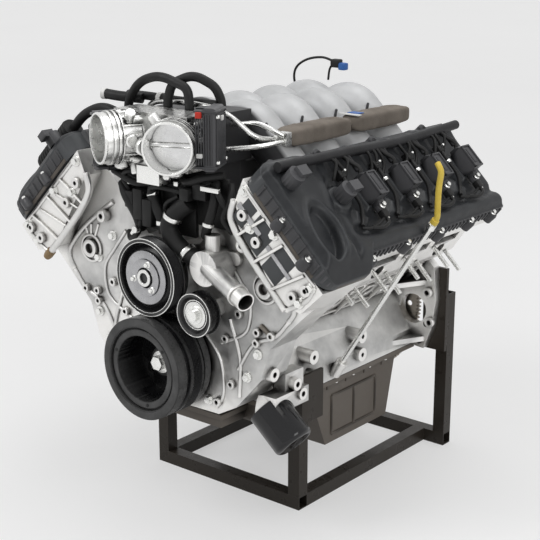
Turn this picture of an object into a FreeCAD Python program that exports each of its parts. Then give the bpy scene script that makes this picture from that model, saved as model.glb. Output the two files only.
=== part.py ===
"""Overhead-cam V8 engine on its welded shipping stand, as a parametric assembly.

Frame: millimetres, +Z up, -Y towards the crank pulley, +X towards the left bank.
Origin: on the crankshaft axis, in the plane of the block's rear face.
Bank frame: u runs along the cylinder axes away from the crank, v runs outwards to the exhaust side.
"""
import FreeCAD
import Part
import math
import os
import re
import Sketcher
from FreeCAD import Placement, Rotation, Vector

# Driving dimensions, in millimetres and degrees.
DIMENSIONS = {
    # crank train
    "bank_angle": 90.0,
    "cylinder_bore": 93.0,
    "bore_pitch": 100.0,
    "piston_stroke": 92.7,
    "rod_length": 150.7,
    "bank_stagger": 20.0,
    "rear_bore_inset": 70.0,
    "deck_height": 227.0,
    "main_journal": 67.5,
    "main_length": 26.0,
    "crank_pin": 53.0,
    "web_thickness": 17.0,
    "web_radius": 44.0,
    "counterweight_radius": 76.0,
    "bearing_shell": 2.5,
    "running_gap": 0.05,
    "rod_width": 19.4,
    "rod_big_end": 38.0,
    "rod_small_end": 17.0,
    "rod_beam": 20.0,
    "wrist_pin": 22.0,
    "wrist_pin_length": 58.0,
    "piston_gap": 0.1,
    "piston_crown_height": 29.0,
    "piston_skirt": 22.0,
    "ring_groove_depth": 3.0,
    "ring_height": 1.5,
    "ring_pitch": 5.0,
    "snout": 34.0,
    "flange_radius": 47.5,
    "flange_reach": 8.0,
    "pilot_bore": 34.0,
    "flange_bolt_circle": 78.0,
    "flange_bolt": 10.0,
    # block and pan
    "block_length": 450.0,
    "rail_half_width": 165.0,
    "rail_drop": 75.0,
    "bank_half_width": 62.0,
    "valley_height": 130.0,
    "crankcase_radius": 92.0,
    "bulkhead": 24.0,
    "cap_half_width": 52.0,
    "bell_flange": 18.0,
    "bell_half_width": 221.0,
    "starter_hole": 60.0,
    "starter_offset": 138.0,
    "mount_boss": 13.0,
    "mount_hole": 8.5,
    "mount_spacing": 150.0,
    "mount_rise": 36.0,
    "mount_centre_y": 272.0,
    "mount_centre_drop": 29.0,
    "mount_reach": 176.0,
    "pan_flange": 9.0,
    "pan_wall": 3.5,
    "pan_shallow_depth": 38.0,
    "pan_nose_half": 105.0,
    "sump_depth": 147.0,
    "sump_front": 300.0,
    "sump_rear": 52.0,
    "sump_taper": 45.0,
    "drain_plug": 22.0,
    # heads and covers
    "gasket": 1.0,
    "head_height": 157.0,
    "head_length": 425.0,
    "head_rear_inset": 5.0,
    "head_inner": 113.0,
    "head_outer": 84.0,
    "cam_offset": 44.0,
    "cam_height": 340.0,
    "cam_journal": 28.0,
    "cam_base": 32.0,
    "cam_lift": 12.0,
    "cam_tower": 20.0,
    "cam_cap_height": 18.0,
    "valve_offset": 20.0,
    "valve_spread": 19.0,
    "valve_seat_height": 240.0,
    "valve_stem": 6.0,
    "intake_valve": 37.0,
    "exhaust_valve": 31.5,
    "spring_radius": 12.0,
    "spring_seat": 51.5,
    "follower_height": 8.0,
    "plug_well": 13.5,
    "cover_wall": 4.0,
    "cover_skirt": 15.0,
    "cover_crown": 43.0,
    "cover_front_flare": 30.0,
    "cover_front": 565.0,
    "coil_length": 46.0,
    "coil_width": 24.0,
    "coil_height": 30.0,
    # timing drive and front cover
    "chain_pitch": 8.0,
    "crank_teeth": 18.0,
    "idle_teeth": 24.0,
    "chain_width": 8.0,
    "front_wall": 6.0,
    "front_depth": 70.0,
    "arm_front": 560.0,
    "phaser_radius": 36.0,
    "oil_pump_radius": 58.0,
    "oil_pump_depth": 22.0,
    "pickup_side": 61.0,
    # pulleys
    "damper_radius": 90.7,
    "damper_front": 608.0,
    "damper_rear": 526.0,
    "damper_face": 16.0,
    "damper_rubber": 4.0,
    "damper_cup": 59.0,
    "damper_web": 545.0,
    "pump_pulley": 68.5,
    "pump_height": 160.5,
    "pump_front": 592.0,
    "pump_pulley_width": 26.0,
    "idler_radius": 38.0,
    "idler_x": 102.0,
    "idler_z": 112.0,
    "idler_front": 583.0,
    "idler_width": 26.0,
    # flexplate
    "flexplate_radius": 168.0,
    "flexplate_thickness": 3.0,
    "ring_gear_width": 11.0,
    "ring_gear_teeth": 132.0,
    "converter_circle": 290.0,
    "converter_hole": 11.0,
    # intake
    "throttle_bore": 80.0,
    "throttle_wall": 3.2,
    "throttle_splay": 25.0,
    "throttle_x": 80.0,
    "throttle_front": 615.0,
    "throttle_z": 393.0,
    "throttle_length": 78.0,
    "throttle_plate_inset": 42.0,
    "throttle_shaft": 10.0,
    "throttle_gap": 0.25,
    "runner_radius": 38.0,
    "runner_bend": 42.0,
    "runner_x": 42.0,
    "runner_z": 362.0,
    "rail_x": 140.0,
    "rail_z": 388.0,
    "rail_radius": 8.0,
    "runner_wall": 4.0,
    "plenum_half_width": 58.0,
    "plenum_floor": 262.0,
    "neck_front": 512.0,
    "injector_radius": 7.0,
    "foam_top": 406.0,
    "foam_height": 34.0,
    "foam_width": 50.0,
    # oil filter and coolant
    "filter_radius": 37.0,
    "filter_length": 80.0,
    "filter_tilt": 130.0,
    "filter_y": 466.0,
    "filter_x": 166.0,
    "filter_drop": 72.0,
    "thermostat_radius": 30.0,
    "outlet_radius": 16.0,
    # hose sleeve
    "sleeve_radius": 20.5,
    "sleeve_length": 108.0,
    # dipstick
    "dipstick_y": 274.0,
    "dipstick_blade": 5.0,
    "dipstick_tube_wall": 1.5,
    # stand
    "stand_tube": 25.4,
    "stand_wall": 2.0,
    "stand_floor": 295.0,
    "stand_front": 390.0,
    "stand_rear": 53.0,
    "stand_half_width": 176.0,
    "stand_rear_half_width": 223.0,
    "stand_plate": 8.0,
}

# Sizes that follow from the driving dimensions.
DERIVED = {
    "bank_sin": "sin(bank_angle / 2 * 1deg)",
    "bank_cos": "cos(bank_angle / 2 * 1deg)",
    "half_angle": "(bank_angle / 2)",
    "bore_radius": "(cylinder_bore / 2)",
    "crank_throw": "(piston_stroke / 2)",
    "head_foot": "(deck_height + gasket)",
    "head_top": "(deck_height + gasket + head_height)",
    "cover_foot": "(head_top + gasket)",
    "cover_top": "(cover_foot + cover_crown)",
    "pin_length": "(bore_pitch - main_length - 2 * web_thickness)",
    "first_pin": "(rear_bore_inset + bank_stagger / 2)",
    "front_face": "(block_length + front_depth)",
    "main_bore": "(main_journal / 2 + bearing_shell)",
    "pan_top": "(rail_drop + gasket)",
    "crank_sprocket": "(crank_teeth * chain_pitch / (2 * pi))",
    "cam_sprocket": "(2 * crank_teeth * chain_pitch / (2 * pi))",
    "idle_sprocket": "(idle_teeth * chain_pitch / (2 * pi))",
    "throttle_radius": "(throttle_bore / 2 + throttle_wall)",
    "splay_sin": "sin(throttle_splay * 1deg)",
    "splay_cos": "cos(throttle_splay * 1deg)",
    "floor_level": "(-stand_floor)",
    "chain_plane_primary": "(block_length + oil_pump_depth + 6)",
    "chain_plane_secondary": "(block_length + oil_pump_depth + 34)",
    "fill_y": "(cover_front - 225)",
    "sump_middle": "((sump_front - sump_taper + sump_rear) / 2)",
    "tube_radius": "(dipstick_blade / 2 + 1 + dipstick_tube_wall)",
    "runner_foot": "(head_inner + 0.3)",
}

LEFT, RIGHT = 1, -1
SIDE_NAME = {LEFT: "left", RIGHT: "right"}
CYLINDERS = range(4)
MAINS = range(5)
# Crankpin directions from the front main to the rear, a cross-plane crank at rest.
PIN_ANGLES = (45.0, 135.0, 315.0, 225.0)
ALONG = {
    "x": ((0, 1, 0), 90),
    "-x": ((0, 1, 0), -90),
    "y": ((1, 0, 0), -90),
    "-y": ((1, 0, 0), 90),
    "z": None,
    "-z": ((1, 0, 0), 180),
}
PLANE_ROLE = {"XY": "XY_Plane", "XZ": "XZ_Plane", "YZ": "YZ_Plane"}

doc = FreeCAD.newDocument("engine")
sheet = doc.addObject("Spreadsheet::Sheet", "dims")
nodes = []


def fill_sheet():
    """Writes each driving dimension as a plain number with an alias."""
    for row, (alias, number) in enumerate(DIMENSIONS.items(), start=1):
        sheet.set(f"A{row}", alias)
        sheet.set(f"B{row}", str(number))
        sheet.setAlias(f"B{row}", alias)
    doc.recompute()


NAME_PATTERN = re.compile(r"\b(" + "|".join(sorted(DIMENSIONS, key=len, reverse=True)) + r")\b")
DERIVED_PATTERN = re.compile(r"\b(" + "|".join(sorted(DERIVED, key=len, reverse=True)) + r")\b")


def bound(text):
    """Turns a size written with plain names into an expression on the sheet."""
    text = str(text)
    while DERIVED_PATTERN.search(text):
        text = DERIVED_PATTERN.sub(lambda found: DERIVED[found.group(1)], text)
    return NAME_PATTERN.sub(r"dims.\1", text)


def value(text):
    """The number that a size has now."""
    result = sheet.evalExpression(bound(text))
    return float(getattr(result, "Value", result))


def values(*texts):
    return [value(text) for text in texts]


def tie(thing, prop, text):
    """Binds a property to a size."""
    thing.setExpression(prop, bound(text))


def new(kind, name):
    return doc.addObject(kind, name)


def node(thing, label):
    """Registers a finished sub-part under the name that its file gets."""
    thing.Label = label
    nodes.append(thing)
    return thing


def put(thing, at=("0", "0", "0"), turn=None):
    """Places a thing: at is three sizes, turn is (axis, angle) or None."""
    rotation = Rotation(Vector(*turn[0]), value(turn[1])) if turn else Rotation()
    thing.Placement = Placement(Vector(*values(*at)), rotation)
    for field, text in zip("xyz", at):
        if text != "0":
            tie(thing, f"Placement.Base.{field}", text)
    if turn and not isinstance(turn[1], (int, float)):
        tie(thing, "Placement.Rotation.Angle", f"({turn[1]}) * 1deg")
    return thing


def bank_turn(side):
    return ((0, side, 0), "half_angle")


def box(name, size, at):
    """A block from its low corner."""
    thing = new("Part::Box", name)
    for prop, text in zip(("Length", "Width", "Height"), size):
        tie(thing, prop, text)
    return put(thing, at)


def rod(name, radius, length, at, along="z"):
    """A cylinder that starts at a point and runs along an axis."""
    thing = new("Part::Cylinder", name)
    tie(thing, "Radius", radius)
    tie(thing, "Height", length)
    return put(thing, at, ALONG[along])


def cone(name, start, end, length, at, along="z"):
    thing = new("Part::Cone", name)
    tie(thing, "Radius1", start)
    tie(thing, "Radius2", end)
    tie(thing, "Height", length)
    return put(thing, at, ALONG[along])


def fuse(name, things):
    thing = new("Part::MultiFuse", name)
    thing.Shapes = list(things)
    return thing


def group(name, things):
    thing = new("Part::Compound", name)
    thing.Links = list(things)
    return thing


def cut(name, base, tools):
    """The base without the tools."""
    tools = list(tools)
    thing = new("Part::Cut", name)
    thing.Base = base
    thing.Tool = tools[0] if len(tools) == 1 else fuse(name + "_tool", tools)
    return thing


def feature(name, shape, at=None):
    thing = new("Part::Feature", name)
    thing.Shape = shape
    if at:
        thing.Placement = at
    return thing


def body(name, at=("0", "0", "0"), turn=None):
    return put(new("PartDesign::Body", name), at, turn)


def sketch(owner, name, plane, loops, offset="0"):
    """A fully dimensioned sketch on one of the body's own planes.

    A loop is a list of (x, y) sizes, or ("circle", x, y, radius).
    """
    drawn = owner.newObject("Sketcher::SketchObject", name)
    origin_plane = next(f for f in owner.Origin.OriginFeatures if f.Role == PLANE_ROLE[plane])
    drawn.AttachmentSupport = [(origin_plane, "")]
    drawn.MapMode = "FlatFace"
    if offset != "0":
        drawn.AttachmentOffset = Placement(Vector(0, 0, value(offset)), Rotation())
        tie(drawn, "AttachmentOffset.Base.z", offset)
    rules, ties = [], []

    def fix(kind, element, end, text):
        if text == "0":
            rules.append(Sketcher.Constraint("PointOnObject", element, end,
                    -2 if kind == "DistanceX" else -1))
        else:
            rules.append(Sketcher.Constraint(kind, -1, 1, element, end, value(text)))
            ties.append((len(rules) - 1, text))

    for loop in loops:
        if loop[0] == "circle":
            x, y, radius = values(*loop[1:])
            element = drawn.addGeometry(Part.Circle(Vector(x, y, 0), Vector(0, 0, 1), radius), False)
            fix("DistanceX", element, 3, loop[1])
            fix("DistanceY", element, 3, loop[2])
            rules.append(Sketcher.Constraint("Radius", element, radius))
            ties.append((len(rules) - 1, loop[3]))
            continue
        corners = [Vector(value(x), value(y), 0) for x, y in loop]
        first = drawn.GeometryCount
        count = len(corners)
        lines = [Part.LineSegment(corners[i], corners[(i + 1) % count]) for i in range(count)]
        drawn.addGeometry(lines, False)
        for i, (x, y) in enumerate(loop):
            rules.append(Sketcher.Constraint("Coincident", first + i, 2, first + (i + 1) % count, 1))
            fix("DistanceX", first + i, 1, x)
            fix("DistanceY", first + i, 1, y)
    drawn.addConstraint(rules)
    for index, text in ties:
        tie(drawn, f"Constraints[{index}]", text)
    return drawn


def pad(owner, drawn, length, back=False):
    made = owner.newObject("PartDesign::Pad", drawn.Name + "_pad")
    made.Profile = drawn
    made.Reversed = back
    tie(made, "Length", length)
    drawn.Visibility = False
    return made


def pocket(owner, drawn, length, back=False):
    made = owner.newObject("PartDesign::Pocket", drawn.Name + "_pocket")
    made.Profile = drawn
    made.Reversed = back
    tie(made, "Length", length)
    drawn.Visibility = False
    return made


def polar(owner, original, drawn, count):
    """Repeats a feature round the sketch's normal."""
    made = owner.newObject("PartDesign::PolarPattern", original.Name + "_ring")
    made.Originals = [original]
    made.Axis = (drawn, ["N_Axis"])
    made.Angle = 360
    tie(made, "Occurrences", count)
    owner.Tip = made
    return made


def lathe(name, profile, at=("0", "0", "0")):
    """A body of revolution about an axis along Y; the profile is (y, radius) sizes."""
    owner = body(name, at)
    drawn = sketch(owner, name + "_profile", "YZ", [profile])
    made = owner.newObject("PartDesign::Revolution", name + "_turned")
    made.Profile = drawn
    made.ReferenceAxis = (drawn, ["H_Axis"])
    made.Angle = 360
    return owner


def bank_xz(side, u, v):
    """A bank point as (x, z) sizes."""
    return (
        f"{side} * (({u}) * bank_sin + ({v}) * bank_cos)",
        f"(({u}) * bank_cos - ({v}) * bank_sin)",
    )


def bank_place(side, u, v, y):
    """A placement whose Z runs along u at a bank point, as numbers."""
    x, z = values(*bank_xz(side, u, v))
    return Placement(Vector(x, -value(y), z), Rotation(Vector(0, side, 0), value("half_angle")))


def bank_rod(name, side, radius, length, u, v, y, tilt="0"):
    """A cylinder on the bank that starts at (u, v) and runs outwards, leaning by tilt."""
    thing = new("Part::Cylinder", name)
    tie(thing, "Radius", radius)
    tie(thing, "Height", length)
    x, z = bank_xz(side, u, v)
    return put(thing, (x, f"-({y})", z), ((0, side, 0), f"half_angle + ({tilt})"))


def bore_y(side, cylinder):
    """How far forward of the rear face a cylinder's axis is."""
    stagger = " + bank_stagger" if side == RIGHT else ""
    return f"rear_bore_inset + {cylinder} * bore_pitch{stagger}"


def head_rear(side):
    return "head_rear_inset" + (" + bank_stagger" if side == RIGHT else "")


def head_front(side):
    return f"({head_rear(side)} + head_length)"


def tube_path(points, share=0.45):
    """Straight runs joined by tangent arcs through the points."""
    corners = [Vector(*p) for p in points]
    edges, start = [], corners[0]
    for before, corner, after in zip(corners, corners[1:], corners[2:]):
        arriving = (corner - before).normalize()
        leaving = (after - corner).normalize()
        turn = arriving.getAngle(leaving)
        if turn < 0.001:
            continue
        reach = share * min((corner - before).Length, (after - corner).Length)
        radius = reach / math.tan(turn / 2)
        enter, leave = corner - arriving * reach, corner + leaving * reach
        inward = (leaving - arriving).normalize()
        centre = corner + inward * (radius / math.cos(turn / 2))
        middle = centre - inward * radius
        edges.append(Part.LineSegment(start, enter).toShape())
        edges.append(Part.Arc(enter, middle, leave).toShape())
        start = leave
    edges.append(Part.LineSegment(start, corners[-1]).toShape())
    return Part.Wire(edges)


def swept(points, radius, bore=0.0):
    """A round tube, or a solid cord where the bore is 0, along a rounded path."""
    path = tube_path(points)
    heading = (Vector(*points[1]) - Vector(*points[0])).normalize()

    def run(size):
        ring = Part.Wire([Part.makeCircle(size, Vector(*points[0]), heading)])
        made = path.makePipeShell([ring], True, False)
        area = math.pi * size * size
        if abs(made.Volume / (area * path.Length) - 1) > 0.02:
            raise ValueError(f"tube at {points[0]} lost volume")
        return made

    return run(radius).cut(run(bore)) if bore else run(radius)


# Cylinder block, crank train and pan


def block_outline():
    """Front outline of the crankcase and both banks, right half then mirrored."""
    half = [
        ("rail_half_width", "-rail_drop"),
        ("rail_half_width", "-rail_drop + 32"),
        bank_xz(LEFT, "bank_half_width * 1.75", "bank_half_width"),
        bank_xz(LEFT, "deck_height", "bank_half_width"),
        bank_xz(LEFT, "deck_height", "-bank_half_width"),
        ("valley_height - bank_half_width / bank_cos", "valley_height"),
    ]
    mirrored = [(f"-({x})", z) for x, z in reversed(half)]
    return half + mirrored


def bell_outline():
    """Outline of the bellhousing flange."""
    half = [
        ("rail_half_width", "-rail_drop"),
        ("bell_half_width - 25", "-rail_drop - 3"),
        ("bell_half_width - 8", "-rail_drop + 40"),
        ("bell_half_width", "24"),
        ("bell_half_width - 6", "92"),
        ("bell_half_width - 70", "150"),
        ("60", "178"),
    ]
    return half + [(f"-({x})", z) for x, z in reversed(half)]


def mount_points(side):
    """The four engine-mount bosses of a side, as (y, z) sizes."""
    for rear in (-0.5, 0.5):
        for high in (-0.5, 0.5):
            yield f"-mount_centre_y + {rear} * mount_spacing", f"-mount_centre_drop + {high} * mount_rise"


def dipstick_line():
    """Seat, top and direction of the dipstick tube, as vectors."""
    y = -value("dipstick_y")
    seat = Vector(value("rail_half_width + 9"), y, value("-rail_drop + 22"))
    top = Vector(value("rail_half_width + 197"), y, value("cam_height - 98"))
    return seat, top, (top - seat).normalize()


def cylinder_block():
    owner = body("block_raw")
    pad(owner, sketch(owner, "block_profile", "XZ", [block_outline()]), "block_length")
    pad(owner, sketch(owner, "bell_profile", "XZ", [bell_outline()]), "bell_flange")
    tools = []
    for side in (LEFT, RIGHT):
        for k in CYLINDERS:
            reach = "deck_height - 40"
            tools.append(bank_rod(f"bore_{k}_{SIDE_NAME[side]}", side, "bore_radius", reach, "45", "0",
                    bore_y(side, k)))
    for k in CYLINDERS:
        start = f"-(first_pin - bore_pitch / 2 + {k} * bore_pitch + bulkhead / 2)"
        tools.append(rod(f"bay_{k}", "crankcase_radius", "bore_pitch - bulkhead", ("0", start, "0"), "-y"))
        floor = ("-crankcase_radius", f"{start} - bore_pitch + bulkhead", "-rail_drop - 5")
        size = ("2 * crankcase_radius", "bore_pitch - bulkhead", "rail_drop + 5")
        tools.append(box(f"bay_floor_{k}", size, floor))
    tools.append(rod("main_tunnel", "main_bore", "block_length + 20", ("0", "10", "0"), "-y"))
    tools.append(box("cap_seat", ("2 * cap_half_width", "block_length - 22", "rail_drop + 5"),
                     ("-cap_half_width", "-block_length + 6", "-rail_drop - 5")))
    tools.append(filter_clearance("block"))
    tools.append(rod("pickup_hole", "6.1", "50", ("pickup_side", "-block_length - 5", "-65.5"), "y"))
    tools.append(rod("rear_seal_bore", "flange_radius + 10", "14", ("0", "2", "0"), "-y"))
    for side in (LEFT, RIGHT):
        name = SIDE_NAME[side]
        hole = (f"{side} * (starter_offset + 32)", "5", "0")
        tools.append(rod(f"starter_hole_{name}", "starter_hole / 2", "bell_flange + 10", hole, "-y"))
        for n, place in enumerate(bell_bolts(side)):
            tools.append(rod(f"bell_hole_{name}_{n}", "6.5", "bell_flange + 10",
                    (place[0], "5", place[1]), "-y"))
    bosses = []
    for side in (LEFT, RIGHT):
        for n, (y, z) in enumerate(mount_points(side)):
            name = f"{SIDE_NAME[side]}_{n}"
            along = "x" if side == LEFT else "-x"
            bosses.append(rod(f"mount_boss_{name}", "mount_boss", "mount_reach - 112",
                    (f"{side} * 112", y, z), along))
            tools.append(rod(f"mount_hole_{name}", "mount_hole / 2", "40",
                    (f"{side} * (mount_reach - 25)", y, z), along))
        for n, z in enumerate(("-58", "58")):
            bosses.append(gusset(f"gusset_{SIDE_NAME[side]}_{n}", side, z))
    seat, top, heading = dipstick_line()
    boss = feature("dipstick_boss", Part.makeCylinder(11, 34, seat - heading * 14, heading))
    bosses.append(boss)
    outer = cut("block_bare", fuse("block_full", [owner] + bosses), tools)
    room = value("dipstick_blade") / 2 + 1
    passage = feature("dipstick_passage", Part.makeCylinder(room, 80, seat - heading * 16, heading))
    socket = feature("dipstick_socket", Part.makeCylinder(value("tube_radius") + 0.05, 60, seat, heading))
    return node(cut("block_finished", outer, [passage, socket]), "cylinder_block")


def gusset(name, side, z):
    """A triangular rib from the bell flange to the block's side."""
    owner = body(name, ("0", "0", f"{z} - 5"))
    outline = [
        (f"{side} * 100", "-bell_flange"),
        (f"{side} * (bell_half_width - 24)", "-bell_flange"),
        (f"{side} * (rail_half_width - 22)", "-bell_flange - 105"),
        (f"{side} * 100", "-bell_flange - 105"),
    ]
    pad(owner, sketch(owner, name + "_outline", "XY", [outline]), "10")
    return owner


def bell_bolts(side):
    """The bellhousing bolt holes of a side, as (x, z) sizes."""
    return [
        (f"{side} * (bell_half_width - 20)", "70"),
        (f"{side} * (bell_half_width - 18)", "-rail_drop + 50"),
        (f"{side} * (bell_half_width - 34)", "-rail_drop + 12"),
        (f"{side} * 100", "148"),
    ]


def filter_line():
    """Where the oil filter's seal stands and the way it points, as vectors."""
    angle = math.radians(value("filter_tilt"))
    seat = Vector(value("filter_x"), -value("filter_y"), -value("filter_drop"))
    return seat, Vector(math.sin(angle), 0, math.cos(angle))


def filter_clearance(tag):
    """Room for a hand and the canister beside the pan rail."""
    seat, heading = filter_line()
    return feature(tag + "_filter_room", Part.makeCylinder(value("filter_radius") + 3, 200,
            seat - heading * 0.5, heading))


def main_y(k):
    """How far forward of the rear face a main journal's middle is."""
    return f"(first_pin - bore_pitch / 2 + {k} * bore_pitch)"


def main_caps():
    caps = []
    for k in MAINS:
        name = f"main_cap_{k}"
        low = ("-cap_half_width + 0.05", f"-{main_y(k)} - bulkhead / 2", "-main_bore - 22")
        raw = box(name + "_raw", ("2 * cap_half_width - 0.1", "bulkhead", "main_bore + 22"), low)
        hole = rod(name + "_bore", "main_bore", "bulkhead + 4",
                ("0", f"-{main_y(k)} + bulkhead / 2 + 2", "0"), "-y")
        caps.append(cut(name, raw, [hole]))
    return node(group("main_caps_group", caps), "main_bearing_caps")


def main_bearings():
    shells = []
    for k in MAINS:
        for half in (1, -1):
            name = f"main_shell_{k}_{half + 1}"
            start = ("0", f"-{main_y(k)} + bulkhead / 2 - 1", "0")
            outer = rod(name + "_outer", "main_bore", "bulkhead - 2", start, "-y")
            inner = rod(name + "_inner", "main_journal / 2 + running_gap", "bulkhead - 2", start, "-y")
            low = "0" if half < 0 else "-main_bore - 1"
            other = box(name + "_half", ("2 * main_bore + 2", "bulkhead", "main_bore + 1"),
                        ("-main_bore - 1", f"-{main_y(k)} - bulkhead / 2", low))
            shells.append(cut(name, outer, [inner, other]))
    return node(group("main_shells_group", shells), "main_bearing_shells")


def pin_place(k):
    """Crankpin centre as a vector; k counts from the rear."""
    angle = math.radians(PIN_ANGLES[k])
    throw = value("crank_throw")
    return Vector(throw * math.sin(angle), -value(f"first_pin + {k} * bore_pitch"), throw * math.cos(angle))


def crank_web(k, y, thickness):
    """One cheek with its counterweight, from y forwards."""
    forward = Vector(0, -1, 0)
    pin = pin_place(k)
    centre, off = Vector(0, y, 0), Vector(pin.x, y, pin.z)
    radius, heavy = value("web_radius"), value("counterweight_radius")
    main = Part.makeCylinder(radius, thickness, centre, forward)
    end = Part.makeCylinder(value("crank_pin") / 2 + 8, thickness, off, forward)
    weight = Part.makeCylinder(heavy, thickness, centre, forward)
    keep = Part.makeBox(2 * heavy + 2, thickness, heavy + 1, Vector(-heavy - 1, -thickness, -heavy - 1))
    keep.translate(Vector(0, 0, -radius * 0.2))
    keep.Placement = Placement(centre, Rotation(Vector(0, 1, 0), PIN_ANGLES[k])).multiply(keep.Placement)
    return main.fuse([end, weight.common(keep)])


def crankshaft():
    """Forged cross-plane crank: mains, pins, webs, rear flange and snout."""
    forward = Vector(0, -1, 0)
    main, pin_radius, cheek, pin_span, snout = values(
        "main_journal / 2", "crank_pin / 2", "web_thickness", "pin_length", "snout / 2")
    parts = []
    for k in MAINS:
        y = -value(main_y(k)) + value("main_length") / 2
        parts.append(Part.makeCylinder(main, value("main_length"), Vector(0, y, 0), forward))
    for k in CYLINDERS:
        pin = pin_place(k)
        rear = pin.y + pin_span / 2
        parts.append(Part.makeCylinder(pin_radius, pin_span, Vector(pin.x, rear, pin.z), forward))
        parts.append(crank_web(k, rear + cheek, cheek))
        parts.append(crank_web(k, rear - pin_span, cheek))
    rear_main = -value(main_y(0)) + value("main_length") / 2
    front_main = -value(main_y(4)) - value("main_length") / 2
    reach, flange = values("flange_reach", "flange_radius")
    parts.append(Part.makeCylinder(main, reach + 6 - rear_main, Vector(0, reach, 0), forward))
    parts.append(Part.makeCylinder(flange, reach + 5, Vector(0, reach, 0), forward))
    parts.append(Part.makeCylinder(snout, value("damper_web") + front_main, Vector(0, front_main, 0),
            forward))
    shape = parts[0].fuse(parts[1:])
    pilot = Part.makeCylinder(value("pilot_bore") / 2, 30 + reach, Vector(0, reach + 1, 0), forward)
    tools = [pilot, Part.makeCylinder(6, 60, Vector(0, -value("damper_web") - 1, 0), Vector(0, 1, 0))]
    for n in range(8):
        tools.append(Part.makeCylinder(value("flange_bolt") / 2, 26 + reach,
                flange_bolt_place(n, reach + 1), forward))
    return node(feature("crankshaft_forging", shape.cut(tools).removeSplitter()), "crankshaft")


def flange_bolt_place(n, y):
    circle = value("flange_bolt_circle") / 2
    angle = math.radians(45 * n)
    return Vector(circle * math.cos(angle), y, circle * math.sin(angle))


def rod_frame(side, k):
    """Big-end centre and small-end centre of a connecting rod, as vectors."""
    pin = pin_place(k)
    y = -value(bore_y(side, k))
    sine, cosine = values("bank_sin", "bank_cos")
    axis = Vector(side * sine, 0, cosine)
    across = Vector(side * cosine, 0, -sine)
    along = pin.x * axis.x + pin.z * axis.z
    off = pin.x * across.x + pin.z * across.z
    height = along + math.sqrt(value("rod_length") ** 2 - off ** 2)
    big = Vector(pin.x, y, pin.z)
    return big, Vector(axis.x * height, y, axis.z * height), axis


def rods_and_pistons():
    """Connecting rods, pistons, pins and rings of all eight cylinders."""
    width, big_r, small_r, pin_r, wrist, beam = values(
        "rod_width", "rod_big_end", "rod_small_end",
        "crank_pin / 2 + running_gap", "wrist_pin / 2", "rod_beam")
    bore, gap, crown, skirt, groove, ring_high, pitch = values(
        "bore_radius", "piston_gap", "piston_crown_height", "piston_skirt",
        "ring_groove_depth", "ring_height", "ring_pitch")
    rods, pistons, rings = [], [], []
    forward = Vector(0, -1, 0)
    for side in (LEFT, RIGHT):
        for k in CYLINDERS:
            big, small, axis = rod_frame(side, k)
            back = Vector(0, width / 2, 0)
            heading = (small - big).normalize()
            cheek = Part.makeCylinder(big_r, width, big + back, forward)
            eye = Part.makeCylinder(small_r, width, small + back, forward)
            shank = Part.makeBox(beam, width * 0.6, (small - big).Length,
                    Vector(-beam / 2, -width * 0.3, 0))
            shank.Placement = Placement(big, Rotation(Vector(0, 0, 1), heading))
            shape = cheek.fuse([eye, shank]).cut([
                Part.makeCylinder(pin_r, width + 2, big + back + Vector(0, 1, 0), forward),
                Part.makeCylinder(wrist + 0.02, width + 2, small + back + Vector(0, 1, 0), forward)])
            rods.append(shape)
            half = value("wrist_pin_length") / 2
            pistons.append(Part.makeCylinder(wrist, 2 * half, small + Vector(0, half, 0), forward).cut(
                Part.makeCylinder(wrist - 4, 2 * half + 2, small + Vector(0, half + 1, 0), forward)))
            shape = Part.makeCylinder(bore - gap, crown + skirt, small - axis * skirt, axis)
            hollow = Part.makeCylinder(bore - 7, crown + skirt - 8, small - axis * (skirt + 1), axis)
            bosses = Part.makeCylinder(wrist + 7, 2 * bore - 10, small + Vector(0, bore - 5, 0), forward)
            bosses = bosses.cut(Part.makeCylinder(wrist + 8, width + 3,
                    small + Vector(0, width / 2 + 1.5, 0), forward))
            shape = shape.cut(hollow).fuse(bosses.common(shape))
            shape = shape.cut(Part.makeCylinder(wrist + 0.02, 3 * bore,
                    small + Vector(0, 1.5 * bore, 0), forward))
            for n in range(3):
                foot = small + axis * (crown - 5 - n * pitch)
                outer = Part.makeCylinder(bore + 1, ring_high + 0.1, foot, axis)
                shape = shape.cut(outer.cut(Part.makeCylinder(bore - groove, ring_high + 0.1, foot, axis)))
                ring = Part.makeCylinder(bore - 0.02, ring_high, foot + axis * 0.05, axis)
                rings.append(ring.cut(Part.makeCylinder(bore - groove + 0.3, ring_high,
                        foot + axis * 0.05, axis)))
            pistons.append(shape)
    node(feature("rods_forged", Part.makeCompound(rods)), "connecting_rods")
    node(feature("pistons_set", Part.makeCompound(pistons)), "pistons")
    node(feature("rings_set", Part.makeCompound(rings)), "piston_rings")


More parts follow.
